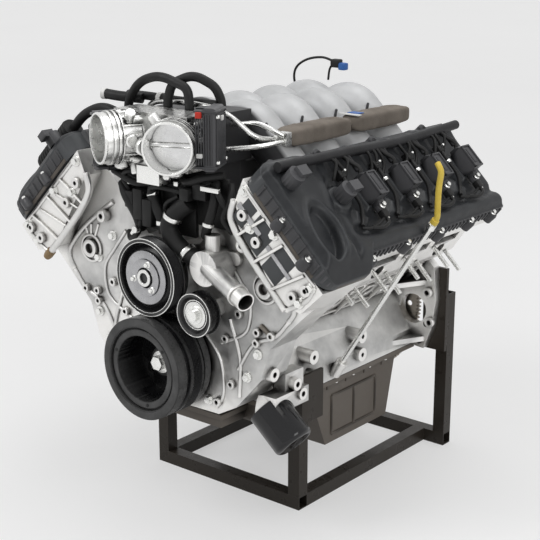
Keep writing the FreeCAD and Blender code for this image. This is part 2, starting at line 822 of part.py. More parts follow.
def oil_pan():
    """Composite pan: flange, shallow front and deep rear sump, all one shell."""
    def tray(name, inset):
        low_front, low_rear = f"(sump_front - sump_taper + {inset})", f"(sump_rear + {inset})"
        side_view = [
            ("-10 - " + inset, "-pan_top"),
            (f"-block_length + 2 + {inset}", "-pan_top"),
            (f"-block_length + 2 + {inset}", f"-pan_top - pan_shallow_depth + {inset}"),
            (f"-sump_front + {inset}", f"-pan_top - pan_shallow_depth + {inset}"),
            (f"-{low_front} + 2 * {inset}", f"-pan_top - sump_depth + {inset}"),
            (f"-{low_rear}", f"-pan_top - sump_depth + {inset}"),
            (f"-26 - {inset}", f"-pan_top - pan_shallow_depth + {inset}"),
        ]
        owner = body(name, (f"-(rail_half_width - 32 - {inset})", "0", "0"))
        pad(owner, sketch(owner, name + "_side", "YZ", [side_view]),
                f"2 * (rail_half_width - 32 - {inset})")
        return owner

    flange = box("pan_flange_plate", ("2 * rail_half_width", "block_length - 2", "pan_flange"),
                 ("-rail_half_width", "-block_length", "-pan_top - pan_flange"))
    nose_top = "-pan_top - 10.2"
    nose = box("pan_nose_plate", ("2 * pan_nose_half", "front_depth + 6", "pan_flange"),
               ("-pan_nose_half", "-front_face", f"{nose_top} - pan_flange"))
    nose_tray = box("pan_nose_tray", ("2 * pan_nose_half - 16", "front_depth", "pan_shallow_depth - 10.2"),
                    ("-pan_nose_half + 8", "-front_face + 8", "-pan_top - pan_shallow_depth"))
    nose_in = box("pan_nose_hollow", ("2 * pan_nose_half - 24", "front_depth + 10", "pan_shallow_depth"),
                  ("-pan_nose_half + 12", "-front_face + 12", "-pan_top - pan_shallow_depth + pan_wall"))
    outer, inner = tray("pan_tray", "0"), tray("pan_hollow", "pan_wall")
    inner_top = box("pan_mouth", ("2 * (rail_half_width - 36)", "block_length - 40", "pan_flange + 4"),
                    ("-(rail_half_width - 36)", "-block_length + 20", "-pan_top - pan_flange - 2"))
    plug = rod("pan_drain_hole", "drain_plug / 2 - 4", "20",
            ("0", "-sump_middle", "-pan_top - sump_depth - 5"), "z")
    shell = cut("pan_shell", fuse("pan_outer", [flange, nose, nose_tray, outer]),
                [inner, inner_top, nose_in, plug, filter_clearance("pan")])
    return node(shell, "oil_pan")


def drain_plug():
    place = ("0", "-sump_middle", "-pan_top - sump_depth")
    head = rod("drain_head", "drain_plug / 2", "8", place, "-z")
    shank = rod("drain_shank", "drain_plug / 2 - 4.05", "pan_wall + 4", place, "z")
    return node(fuse("drain_plug_turned", [head, shank]), "drain_plug")


def pan_gasket():
    plate = box("pan_gasket_plate", ("2 * rail_half_width", "block_length - 2", "gasket"),
                ("-rail_half_width", "-block_length", "-pan_top"))
    hole = box("pan_gasket_hole", ("2 * crankcase_radius + 40", "block_length - 42", "gasket + 4"),
               ("-crankcase_radius - 20", "-block_length + 20", "-pan_top - 2"))
    return cut("pan_gasket_cut", plate, [hole, filter_clearance("gasket")])


def oil_pickup():
    """Pickup tube from the pump down into the sump."""
    y, z = -value("sump_middle"), value("-pan_top - sump_depth + pan_wall + 12")
    front = -value("block_length")
    side = value("pickup_side")
    points = [(side, front + 0.1, -65.5), (side, front + 16, -65.5), (side, front + 40, -65.5),
              (side - 6, front + 66, -84), (10, -300, -98), (0, y - 30, -120), (0, y, z + 6)]
    tube = swept(points, 6, 4.5)
    strainer = Part.makeCylinder(34, 8, Vector(0, y, z)).fuse(Part.makeCylinder(9, 10, Vector(0, y, z + 4)))
    strainer = strainer.cut(Part.makeCylinder(3.5, 20, Vector(0, y, z - 1)))
    return node(feature("pickup_brazed", tube.cut(strainer).fuse(strainer)), "oil_pickup_tube")


def oil_pump():
    """Gear pump housing round the crank snout, on the block's front face."""
    place = ("0", "-block_length", "0")
    hub = rod("pump_case", "oil_pump_radius", "oil_pump_depth", place, "-y")
    foot = box("pump_foot", ("70", "oil_pump_depth", "32"), ("10", "-block_length - oil_pump_depth", "-76"))
    bore = rod("pump_snout_hole", "snout / 2 + 1", "oil_pump_depth + 4",
            ("0", "-block_length + 2", "0"), "-y")
    return node(cut("oil_pump_bored", fuse("oil_pump_case", [hub, foot]), [bore]), "oil_pump")


# Heads, valve gear and cam covers


def head_outline(side):
    """Cross-section of the head in the bank frame."""
    corners = [
        ("-70", "head_foot"), ("-84", "head_foot + 24"), ("-head_inner", "head_foot + 48"),
        ("-head_inner", "head_top"), ("head_outer", "head_top"), ("head_outer", "head_top - 26"),
        ("head_outer - 14", "head_top - 60"), ("head_outer - 4", "head_foot + 40"), ("72", "head_foot"),
    ]
    return [(f"{side} * ({v})", u) for v, u in corners]


def cylinder_head(side):
    name = "head_" + SIDE_NAME[side]
    owner = body(name + "_raw", turn=bank_turn(side))
    rear, front = head_rear(side), head_front(side)
    drawn = sketch(owner, name + "_profile", "XZ", [head_outline(side)], rear)
    pad(owner, drawn, "head_length")
    well = [(f"{side} * ({v})", u) for v, u in (
        ("-head_inner + 10", "cam_height"), ("-head_inner + 10", "head_top + 2"),
        ("head_outer - 10", "head_top + 2"), ("head_outer - 10", "cam_height"))]
    pocket(owner, sketch(owner, name + "_well", "XZ", [well], f"{rear} + 12"), "head_length", back=True)
    machined = owner
    for k in CYLINDERS:
        for step, tools in enumerate(head_cuts(name, side, k)):
            machined = cut(f"{name}_bored_{k}_{step}", machined, tools)
    axles = [bank_rod_y(f"{name}_cam_{sign + 1}", side, "cam_journal / 2 + 0.05", "head_length",
                        "cam_height", f"{sign} * cam_offset", f"{rear} + 12") for sign in (-1, 1)]
    return node(cut(name + "_machined", machined, axles), f"cylinder_head_{SIDE_NAME[side]}")


def head_cuts(name, side, k):
    """What is bored into the head for one cylinder, in three steps."""
    y, tag = bore_y(side, k), f"{name}_{k}"
    middle = [bank_rod(tag + "_chamber", side, "bore_radius - 1", "11", "head_foot - 1", "0", y),
              bank_rod(tag + "_plug", side, "plug_well", "200", "head_foot + 52", "0", y),
              bank_rod(tag + "_thread", side, "6.1", "60", "head_foot", "0", y)]
    ports, valves = [], []
    for kind, sign in (("in", -1), ("ex", 1)):
        ports.append(head_port(tag, side, k, kind, sign))
        for spot in (-1, 1):
            valves += valve_cuts(f"{tag}_{kind}_{spot + 1}", side, k, kind, sign, spot)
    rear, length = f"{y} - bore_pitch / 2 + cam_tower / 2", "bore_pitch - cam_tower"
    deep = bank_box(tag + "_spring_box", side, "-66", "head_outer + 56", rear, length, "head_foot + 74",
            "60")
    wide = bank_box(tag + "_cam_box", side, "-head_inner + 10", "60", rear, length, "head_foot + 94", "40")
    tower = bank_rod(tag + "_plug_tower", side, "plug_well + 4", "100", "head_foot + 60", "0", y)
    well = cut(tag + "_spring_well", fuse(tag + "_wells", [deep, wide]), [tower])
    return middle + [well], ports, valves


def bank_box(name, side, v, v_size, y, y_size, u, u_size):
    """A block in the bank frame from its low v, rear y and low u."""
    thing = new("Part::Box", name)
    tie(thing, "Length", v_size)
    tie(thing, "Width", y_size)
    tie(thing, "Height", u_size)
    start = v if side == LEFT else f"{v} + ({v_size})"
    x, z = bank_xz(side, u, start)
    return put(thing, (x, f"-({y}) - ({y_size})", z), bank_turn(side))


def bank_rod_y(name, side, radius, length, u, v, y):
    """A cylinder along -Y that starts at a bank point."""
    x, z = bank_xz(side, u, v)
    return rod(name, radius, length, (x, f"-({y})", z), "-y")


VALVE_LEAN = "atan((cam_offset - valve_offset) / (cam_height - valve_seat_height)) / 1deg"


def head_port(tag, side, k, kind, sign):
    """The port from the valve bowls to the intake or exhaust face."""
    thing = new("Part::Cylinder", f"{tag}_{kind}_port")
    tie(thing, "Radius", "17" if sign < 0 else "15")
    tie(thing, "Height", "130")
    x, z = bank_xz(side, "valve_seat_height + 16", f"{sign} * (valve_offset + 4)")
    angle = "half_angle + 63.4" if sign > 0 else "half_angle - 60.7"
    return put(thing, (x, f"-({bore_y(side, k)})", z), ((0, side, 0), angle))


def valve_y(side, k, spot):
    return f"{bore_y(side, k)} + {spot} * valve_spread"


def valve_cuts(tag, side, k, kind, sign, spot):
    """Bowl and guide of one valve."""
    head = "intake_valve / 2" if kind == "in" else "exhaust_valve / 2"
    y, tilt = valve_y(side, k, spot), f"{sign} * {VALVE_LEAN}"
    slope = "(cam_offset - valve_offset) / (cam_height - valve_seat_height)"
    v = f"{sign} * (valve_offset - 8 * {slope})"
    low = f"(spring_seat - 0.3) * cos(atan({slope}))"
    seat_v = f"{sign} * (valve_offset + {low} * {slope})"
    seat = bank_rod(tag + "_seat", side, "spring_radius + 0.5", "40", f"valve_seat_height + {low}",
            seat_v, y, tilt)
    bowl = bank_rod(tag + "_bowl", side, head + " + 0.2", "34", "valve_seat_height - 8", v, y, tilt)
    guide = bank_rod(tag + "_guide", side, "valve_stem / 2 + 0.1", "140", "valve_seat_height - 8", v, y,
            tilt)
    return [bowl, guide, seat]


def valve_frame(side, k, sign, spot):
    """Valve seat centre, axis and the distance from there to the cam axis, as numbers."""
    x, z = values(*bank_xz(side, "valve_seat_height", f"{sign} * valve_offset"))
    cam_x, cam_z = values(*bank_xz(side, "cam_height", f"{sign} * cam_offset"))
    seat = Vector(x, -value(valve_y(side, k, spot)), z)
    across = Vector(cam_x, seat.y, cam_z) - seat
    return seat, Vector(across).normalize(), across.Length


def cam_phase(side, k, sign):
    """Angle of a lobe's nose from the direction to its valve, at rest."""
    pin = PIN_ANGLES[k]
    bank = side * value("half_angle")
    after_top = (bank - pin) % 360
    fires_late = 360 if k in (0, 2) and side == LEFT or k in (1, 3) and side == RIGHT else 0
    peak = 470 if sign < 0 else 250
    return ((after_top + fires_late - peak) / 2) % 360


def lobe_rise(phase):
    """Lift of a flat follower for the nose at that angle."""
    base, lift = value("cam_base") / 2, value("cam_lift")
    nose = base * 0.5
    return max(0.0, (base + lift - nose) * math.cos(math.radians(phase)) + nose - base)


def valve_gear():
    """Valves, springs and followers, each valve lifted as its cam lobe stands."""
    stem, spring_r, spring_foot, follow = values(
        "valve_stem / 2", "spring_radius", "spring_seat", "follower_height")
    valves, springs, followers = [], [], []
    for side in (LEFT, RIGHT):
        for k in CYLINDERS:
            for sign in (-1, 1):
                for spot in (-1, 1):
                    seat, axis, distance = valve_frame(side, k, sign, spot)
                    rise = lobe_rise(cam_phase(side, k, sign))
                    foot = seat - axis * rise
                    head = value("intake_valve / 2" if sign < 0 else "exhaust_valve / 2")
                    length = distance - value("cam_base") / 2 - follow - 0.1
                    disc = Part.makeCylinder(head, 2, foot, axis)
                    neck = Part.makeCone(head, stem, 12, foot + axis * 2, axis)
                    valves.append(disc.fuse([neck, Part.makeCylinder(stem, length, foot, axis)]))
                    tip = foot + axis * length
                    retainer = Part.makeCylinder(spring_r, 3, tip - axis * 5, axis)
                    coil_base = seat + axis * spring_foot
                    coil = Part.makeCylinder(spring_r - 1, length - rise - 5 - spring_foot, coil_base, axis)
                    coil = coil.fuse(retainer)
                    springs.append(coil.cut(Part.makeCylinder(stem + 0.2, 60, coil_base - axis, axis)))
                    finger = Part.makeBox(24, 9, follow, Vector(-11, -4.5, 0))
                    finger.Placement = Placement(tip + axis * 0.05, Rotation(Vector(0, 0, 1), axis))
                    followers.append(finger)
    node(feature("valves_set", Part.makeCompound(valves)), "valves")
    node(feature("springs_set", Part.makeCompound(springs)), "valve_springs")
    node(feature("followers_set", Part.makeCompound(followers)), "cam_followers")


def camshaft(side, sign):
    """One camshaft with its lobes and its phaser and sprockets."""
    kind = "intake" if sign < 0 else "exhaust"
    base, lift, journal = values("cam_base / 2", "cam_lift", "cam_journal / 2")
    x, z = values(*bank_xz(side, "cam_height", f"{sign} * cam_offset"))
    forward = Vector(0, -1, 0)
    rear, front = values(f"{head_rear(side)} + 13", "block_length + 26")
    shaft = Part.makeCylinder(journal - 3, front - rear, Vector(x, -rear, z), forward)
    parts = []
    for n in MAINS:
        low = max(value(cam_tower_y(side, n)) - value("cam_tower") / 2, rear - 0.7)
        high = value(cam_tower_y(side, n)) + value("cam_tower") / 2
        parts.append(Part.makeCylinder(journal, high - low, Vector(x, -low, z), forward))
    for k in CYLINDERS:
        for spot in (-1, 1):
            seat, axis, _ = valve_frame(side, k, sign, spot)
            phase = cam_phase(side, k, sign)
            heading = Rotation(Vector(0, 1, 0), phase).multVec(axis * -1)
            y = seat.y + 6
            circle = Part.makeCylinder(base, 12, Vector(x, y, z), forward)
            nose_r = base * 0.5
            reach = base + lift - nose_r
            tip = Part.makeCylinder(nose_r, 12, Vector(x, y, z) + heading * reach, forward)
            flank = lobe_flank(Vector(x, y, z), heading, base, nose_r, reach, 12)
            parts.append(circle.fuse([tip, flank]))
    lobes = shaft.fuse(parts).removeSplitter()
    depth = value("chain_plane_primary" if sign < 0 else "chain_plane_secondary")
    parts = [lobes]
    phaser = Part.makeCylinder(value("phaser_radius"), 28, Vector(x, -front, z), forward)
    parts.append(phaser)
    parts.append(Part.makeCylinder(20, 9, Vector(x, -front - 28, z), forward))
    parts.append(sprocket(x, z, "idle_teeth", value("chain_plane_secondary")))
    if sign < 0:
        parts.append(sprocket(x, z, "2 * crank_teeth",
                depth + (0 if side == LEFT else value("chain_width + 3"))))
    made = lobes.fuse(parts[1:])
    return node(feature(f"cam_{kind}_{SIDE_NAME[side]}_ground", made), f"camshaft_{kind}_{SIDE_NAME[side]}")


def lobe_flank(centre, heading, base, nose, reach, width):
    """The tangent sides between a lobe's base circle and its nose."""
    lean = math.acos((base - nose) / reach)
    side = Vector(0, 1, 0).cross(heading)

    def at(middle, radius, sense):
        direction = heading * math.cos(lean) + side * (math.sin(lean) * sense)
        return middle + direction * radius

    top = centre + heading * reach
    corners = [at(centre, base, 1), at(top, nose, 1), at(top, nose, -1), at(centre, base, -1)]
    face = Part.Face(Part.makePolygon(corners + corners[:1]))
    return face.extrude(Vector(0, -width, 0))


def sprocket(x, z, teeth, plane):
    """A toothed wheel for the timing chain, from a plane forwards."""
    count = int(round(value(teeth)))
    pitch_r = count * value("chain_pitch") / (2 * math.pi)
    root, tip = pitch_r - 2.6, pitch_r + 1.4
    points = []
    for n in range(count):
        for step, radius in ((0.14, tip), (0.32, root), (0.68, root), (0.86, tip)):
            angle = 2 * math.pi * (n + step - 0.5) / count
            points.append(Vector(x + radius * math.sin(angle), -plane, z + radius * math.cos(angle)))
    face = Part.Face(Part.makePolygon(points + points[:1]))
    return face.extrude(Vector(0, -value("chain_width") + 2, 0))


def cam_tower_y(side, n):
    return f"({bore_y(side, 0)} - bore_pitch / 2 + {n} * bore_pitch)"


def cam_caps():
    caps = []
    for side in (LEFT, RIGHT):
        for n in MAINS:
            for sign in (-1, 1):
                name = f"cam_cap_{SIDE_NAME[side]}_{n}_{sign + 1}"
                start = cam_tower_y(side, n) if n else f"({cam_tower_y(side, n)} + 5)"
                raw = bank_box(name + "_raw", side, f"{sign} * cam_offset - 21", "42",
                        f"{start} - cam_tower / 2 + 2.5",
                               "cam_tower - 5", "cam_height", "cam_cap_height")
                hole = bank_rod_y(name + "_bore", side, "cam_journal / 2 + 0.05", "cam_tower + 4",
                        "cam_height",
                                  f"{sign} * cam_offset", f"{start} - cam_tower / 2 - 2")
                caps.append(cut(name, raw, [hole]))
    return node(group("cam_caps_group", caps), "cam_bearing_caps")


def head_gaskets():
    plates = []
    for side in (LEFT, RIGHT):
        name = "head_gasket_" + SIDE_NAME[side]
        plate = bank_box(name + "_plate", side, "-bank_half_width", "2 * bank_half_width", head_rear(side),
                         "head_length", "deck_height", "gasket")
        holes = [bank_rod(f"{name}_{k}", side, "bore_radius", "gasket + 4", "deck_height - 2", "0",
                bore_y(side, k))
                 for k in CYLINDERS]
        plates.append(cut(name, plate, holes))
    return plates


def cover_section(side, inset, front):
    """Cross-section of a cam cover; the front section is wider."""
    outer = "head_outer + cover_front_flare" if front else "head_outer"
    low = "cover_foot" if inset == "0" else "cover_foot - 1"
    crown = "cover_top + 4" if front else "cover_top"
    corners = [
        (f"-head_inner + {inset}", low),
        (f"-head_inner + {inset}", f"cover_foot + cover_skirt + 10 - {inset} / 2"),
        (f"-head_inner + 20 + {inset} / 2", f"{crown} - {inset}"),
        (f"{outer} - 34 - {inset} / 2", f"{crown} - {inset}"),
        (f"{outer} - {inset}", f"cover_foot + cover_skirt - {inset} / 2"),
        (f"{outer} - {inset}", low),
    ]
    return [(f"{side} * ({v})", u) for v, u in corners]


def cam_cover(side):
    """Composite cam cover: a hollow shell with plug wells, wider over the timing drive."""
    name = "cover_" + SIDE_NAME[side]
    rear = head_rear(side)
    owner = body(name + "_raw", turn=bank_turn(side))
    pad(owner, sketch(owner, name + "_long", "XZ", [cover_section(side, "0", False)], rear),
            f"cover_front - ({rear})")
    flare = "block_length - 22"
    pad(owner, sketch(owner, name + "_wide", "XZ", [cover_section(side, "0", True)], flare),
            f"cover_front - ({flare})")
    hollow = body(name + "_hollow", turn=bank_turn(side))
    inner = f"{rear} + cover_wall"
    pad(hollow, sketch(hollow, name + "_in", "XZ", [cover_section(side, "cover_wall", False)], inner),
        f"cover_front - cover_wall - ({inner})")
    flare_in = f"{flare} + cover_wall"
    pad(hollow, sketch(hollow, name + "_in_wide", "XZ", [cover_section(side, "cover_wall", True)],
            flare_in),
        f"cover_front - cover_wall - ({flare_in})")
    towers, wells = [], []
    for k in CYLINDERS:
        y = bore_y(side, k)
        towers.append(bank_rod(f"{name}_tower_{k}", side, "plug_well + 4", "cover_crown - 1",
                "cover_foot", "0", y))
        wells.append(bank_rod(f"{name}_well_{k}", side, "plug_well", "120", "cover_foot - 5", "0", y))
    if side == RIGHT:
        wells.append(bank_rod(name + "_fill_hole", side, "18", "60", "cover_top - 20", "20", "fill_y"))
    for n, (v, y, _) in enumerate(SOLENOIDS[side]):
        wells.append(bank_rod(f"{name}_solenoid_{n}", side, "11.1", "60", "cover_top - 20", v, y))
    shell = fuse(name + "_shell", [cut(name + "_open", owner, [hollow])] + towers)
    return node(cut(name + "_moulded", shell, wells), f"cam_cover_{SIDE_NAME[side]}")


# Cam-phasing solenoids of a cover: v, distance forward and how far back the socket starts.
SOLENOIDS = {
    LEFT: (("-62", "cover_front - 34", "22"), ("-14", "cover_front - 126", "22")),
    RIGHT: (("-62", "cover_front - 22", "2"), ("-14", "cover_front - 126", "22")),
}


def cover_gaskets():
    rings = []
    for side in (LEFT, RIGHT):
        name = "cover_seal_" + SIDE_NAME[side]
        rear = head_rear(side)
        length = f"{head_front(side)} - ({rear})"
        plate = bank_box(name + "_plate", side, "-head_inner", "head_inner + head_outer", rear, length,
                "head_top", "gasket")
        hole = bank_box(name + "_hole", side, "-head_inner + 8", "head_inner + head_outer - 16",
                f"{rear} + 8",
                        f"{length} + 10", "head_top - 2", "gasket + 4")
        rings.append(cut(name, plate, [hole]))
    return rings


def coils_and_plugs():
    coils, plugs = [], []
    for side in (LEFT, RIGHT):
        for k in CYLINDERS:
            tag = f"{SIDE_NAME[side]}_{k}"
            y = bore_y(side, k)
            block = bank_box(f"coil_block_{tag}", side, "-coil_length * 0.72", "coil_length",
                    f"{y} - coil_width / 2",
                             "coil_width", "cover_top + 0.2", "coil_height")
            ear = bank_box(f"coil_ear_{tag}", side, "coil_length * 0.28 - 1", "18", f"{y} - 7", "14",
                    "cover_top + 0.2", "9")
            stalk = bank_rod(f"coil_stalk_{tag}", side, "plug_well - 1.5",
                    "cover_top + 2 - (head_foot + 104)",
                             "head_foot + 104", "0", y)
            boot = bank_rod(f"coil_boot_{tag}", side, "10", "40", "head_foot + 66", "0", y)
            core = bank_rod(f"coil_core_{tag}", side, "6.5", "30", "head_foot + 62", "0", y)
            coils.append(cut(f"coil_{tag}", fuse(f"coil_body_{tag}", [block, ear, stalk, boot]), [core]))
            thread = bank_rod(f"plug_thread_{tag}", side, "6", "46", "head_foot + 8", "0", y)
            hexagon = bank_rod(f"plug_hex_{tag}", side, "9", "8", "head_foot + 52.2", "0", y)
            porcelain = bank_rod(f"plug_porcelain_{tag}", side, "6", "30", "head_foot + 58", "0", y)
            plugs.append(fuse(f"plug_{tag}", [thread, hexagon, porcelain]))
    node(group("coils_group", coils), "ignition_coils")
    node(group("plugs_group", plugs), "spark_plugs")


def solenoids():
    made = []
    for side in (LEFT, RIGHT):
        for n, (v, y, back) in enumerate(SOLENOIDS[side]):
            tag = f"solenoid_{SIDE_NAME[side]}_{n}"
            can = bank_rod(tag + "_can", side, "15", "24", "cover_top + 4.2", v, y)
            nose = bank_rod(tag + "_nose", side, "11", "22", "cover_top - 10", v, y)
            plug = bank_box(tag + "_socket", side, f"{v} - 9", "18", f"{y} - {back}", "24",
                    "cover_top + 22", "14")
            made.append(fuse(tag, [can, nose, plug]))
    return node(group("solenoids_group", made), "cam_timing_solenoids")


def fill_cap():
    side, u, v = RIGHT, "cover_top + 0.2", "20"
    neck = bank_rod("fill_neck", side, "17.9", "14", "cover_top - 12", v, "fill_y")
    disc = bank_rod("fill_disc", side, "27", "14", u, v, "fill_y")
    grip = bank_box("fill_grip", side, f"{v} - 24", "48", "fill_y - 6", "12", "cover_top + 14", "9")
    return node(fuse("fill_cap_moulded", [neck, disc, grip]), "oil_fill_cap")


def exhaust_studs():
    """Two studs beside each exhaust port, standing out of the head."""
    studs = []
    for side in (LEFT, RIGHT):
        for k in CYLINDERS:
            for spot in (-1, 1):
                thing = new("Part::Cylinder", f"stud_{SIDE_NAME[side]}_{k}_{spot + 1}")
                tie(thing, "Radius", "4")
                tie(thing, "Height", "46")
                height = "head_foot + 58 + 14 * " + str(spot)
                out = "head_outer - 3.4" if spot < 0 else "head_outer - 8.4"
                x, z = bank_xz(side, height, out)
                put(thing, (x, f"-({bore_y(side, k)} + {spot} * 34)", z), ((0, side, 0), "half_angle + 90"))
                studs.append(thing)
    return node(group("studs_group", studs), "exhaust_studs")


# Timing drive and front cover


def front_outline(inset):
    """Front cover outline, right half then mirrored."""
    half = [
        ("0", f"-rail_drop - 11 + {inset}"),
        (f"100 - {inset}", f"-rail_drop - 9 + {inset}"),
        (f"140 - {inset}", f"-rail_drop + 13 + {inset}"),
        (f"195 - {inset}", "0"),
        (f"215 - {inset}", "60"),
        bank_xz(LEFT, f"head_top - 94 + {inset}", f"head_outer + cover_front_flare - 4 - {inset}"),
        bank_xz(LEFT, "head_top - 0.3", f"head_outer + cover_front_flare - {inset}"),
        bank_xz(LEFT, "head_top - 0.3", f"-head_inner + {inset}"),
        bank_xz(LEFT, f"head_top - 64 + {inset} * 0.4", f"-head_inner + {inset}"),
        (f"60 - {inset} * 0.4", f"215 - {inset} * 1.4"),
        ("0", f"205 - {inset} * 1.4"),
    ]
    return half + [(f"-({x})", z) for x, z in reversed(half[1:-1])]


def arm_outline(side, inset):
    """The raised end of the front cover over one bank's timing drive."""
    corners = [
        (f"-head_inner + {inset}", "head_top - 0.3"),
        (f"head_outer + cover_front_flare - {inset}", "head_top - 0.3"),
        (f"head_outer + cover_front_flare - 2 - {inset}", "head_top - 60"),
        (f"67", f"head_top - 84 + {inset}"),
        (f"-head_inner + 17 + {inset} * 0.5", f"head_top - 44 + {inset}"),
    ]
    return [bank_xz(side, u, v) for v, u in corners]


def front_cover():
    """Cast timing cover: a closed back wall, two raised arms and the water pump's volute."""
    raw, hollow = body("front_raw"), body("front_hollow")
    inside = "block_length + front_wall"
    pad(raw, sketch(raw, "front_plate", "XZ", [front_outline("0")], "block_length"), "front_depth")
    pad(hollow, sketch(hollow, "front_in", "XZ", [front_outline("front_wall")], inside),
            "front_depth - 2 * front_wall")
    for side in (LEFT, RIGHT):
        tag = SIDE_NAME[side]
        pad(raw, sketch(raw, "front_arm_" + tag, "XZ", [arm_outline(side, "0")], "block_length"),
            "arm_front - block_length")
        pad(hollow, sketch(hollow, "front_arm_in_" + tag, "XZ", [arm_outline(side, "front_wall")], inside),
            "arm_front - block_length - 2 * front_wall")
    left_head = body("front_step", turn=bank_turn(LEFT))
    step = f"block_length - {head_front(LEFT)}"
    pad(left_head, sketch(left_head, "front_step_outline", "XZ", [head_outline(LEFT)],
            head_front(LEFT)), step)
    volute = rod("pump_volute", "58", "26", ("0", "-front_face", "pump_height"), "-y")
    nose = rod("pump_nose", "26", "42", ("0", "-front_face", "pump_height"), "-y")
    idler_post = rod("idler_post", "15", "idler_front - idler_width - front_face - 3",
                     ("idler_x", "-front_face", "idler_z"), "-y")
    side_boss = rod("side_boss", "12", "30", ("206", "-front_face + 24", "6"), "-x")
    outer = fuse("front_solid", [raw, left_head, volute, nose, idler_post, side_boss])
    holes = [
        hollow,
        rod("pump_chamber", "48", "20", ("0", "-front_face", "pump_height"), "-y"),
        rod("seal_hole", "snout / 2 + 8", "80", ("0", "-front_face + 20", "0"), "-y"),
        rod("pump_shaft_hole", "8.05", "80", ("0", "-front_face + 5", "pump_height"), "-y"),
        rod("oil_pump_window", "oil_pump_radius + 4", "20", ("0", "-block_length + 6", "0"), "-y"),
        box("pickup_window", ("80", "20", "40"), ("6", "-block_length - 12", "-78")),
        filter_clearance("front"),
        rod("side_boss_hole", "5", "22", ("207", "-front_face + 24", "6"), "-x"),
    ]
    for side in (LEFT, RIGHT):
        tag = "front_window_" + SIDE_NAME[side]
        holes.append(bank_box(tag, side, "-head_inner + 10", "head_inner + head_outer - 20",
                "block_length - 40",
                              "52", "head_foot + 74", "head_height - 82"))
    return node(cut("front_cast", outer, holes), "front_cover")


def crank_gears():
    """Twin crank sprocket behind the front cover."""
    forward = Vector(0, -1, 0)
    first = value("chain_plane_primary")
    second = first + value("chain_width + 3")
    hub = Part.makeCylinder(value("crank_sprocket") - 4, second - first + value("chain_width") - 2,
            Vector(0, -first, 0), forward)
    shape = hub.fuse([sprocket(0, 0, "crank_teeth", first), sprocket(0, 0, "crank_teeth", second)])
    shape = shape.cut(Part.makeCylinder(value("snout") / 2 + 0.01, 60, Vector(0, -first + 5, 0), forward))
    return node(feature("crank_gears_hobbed", shape), "crank_sprocket")


def chain_loop(first, first_r, second, second_r, plane, half_width=3.6):
    """A closed chain as a band round two wheels, clear of their teeth."""
    inner, outer = 2.2, 5.6
    gap = second - first
    reach = gap.Length
    lean = math.asin((second_r - first_r) / reach)
    along = gap.normalize()
    across = Vector(0, 1, 0).cross(along)

    def outline(grow):
        def at(centre, radius, sense):
            direction = across * (sense * math.cos(lean)) - along * math.sin(lean)
            return centre + direction * (radius + grow)
        a, b = at(first, first_r, 1), at(second, second_r, 1)
        c, d = at(second, second_r, -1), at(first, first_r, -1)
        far = second + along * (second_r + grow)
        near = first - along * (first_r + grow)
        edges = [Part.LineSegment(a, b).toShape(), Part.Arc(b, far, c).toShape(),
                 Part.LineSegment(c, d).toShape(), Part.Arc(d, near, a).toShape()]
        return Part.Face(Part.Wire(edges))

    band = outline(outer).cut(outline(inner))
    return band.extrude(Vector(0, -2 * half_width, 0)).translated(Vector(0, -plane + 0.6, 0))


def timing_chains():
    """Two long chains from the crank to the intake cams, two short ones across each head."""
    small, large, idle, width = values("crank_sprocket", "cam_sprocket", "idle_sprocket", "chain_width + 3")
    primary, secondary = values("chain_plane_primary", "chain_plane_secondary")
    long_chains, short_chains = [], []
    for side in (LEFT, RIGHT):
        ix, iz = values(*bank_xz(side, "cam_height", "-cam_offset"))
        ex, ez = values(*bank_xz(side, "cam_height", "cam_offset"))
        plane = primary if side == LEFT else primary + width
        long_chains.append(chain_loop(Vector(0, 0, 0), small, Vector(ix, 0, iz), large, plane))
        short_chains.append(chain_loop(Vector(ix, 0, iz), idle, Vector(ex, 0, ez), idle, secondary))
    node(feature("chains_set", Part.makeCompound(long_chains + short_chains)), "timing_chains")


def chain_guides():
    """One guide rail outside each long chain's straight run."""
    made = []
    pins = (90, 240)
    for side in (LEFT, RIGHT):
        name = "guide_" + SIDE_NAME[side]
        plane = value("chain_plane_primary") + (0 if side == LEFT else value("chain_width + 3"))

        def at(u, offset):
            v = GUIDE_FOOT - GUIDE_SLOPE * u + offset
            x, z = values(*bank_xz(side, str(u), str(v)))
            return Vector(x, -plane + 4, z)

        corners = [at(70, 0), at(260, 0), at(260, 9), at(70, 9)]
        rail = Part.Face(Part.makePolygon(corners + corners[:1])).extrude(Vector(0, -14, 0))
        start = -value("block_length + front_wall") - 0.1
        for u in pins:
            spot = at(u, 4.5)
            rail = rail.fuse(Part.makeCylinder(4, 30, Vector(spot.x, start, spot.z), Vector(0, -1, 0)))
        made.append(rail)
    return node(feature("guides_set", Part.makeCompound(made)), "chain_guides")


# Outer flank of a long chain in the bank frame: v at the crank, and its fall per unit of u.
GUIDE_FOOT, GUIDE_SLOPE = 29.0, 0.0619


# Pulleys, flexplate and their bolts


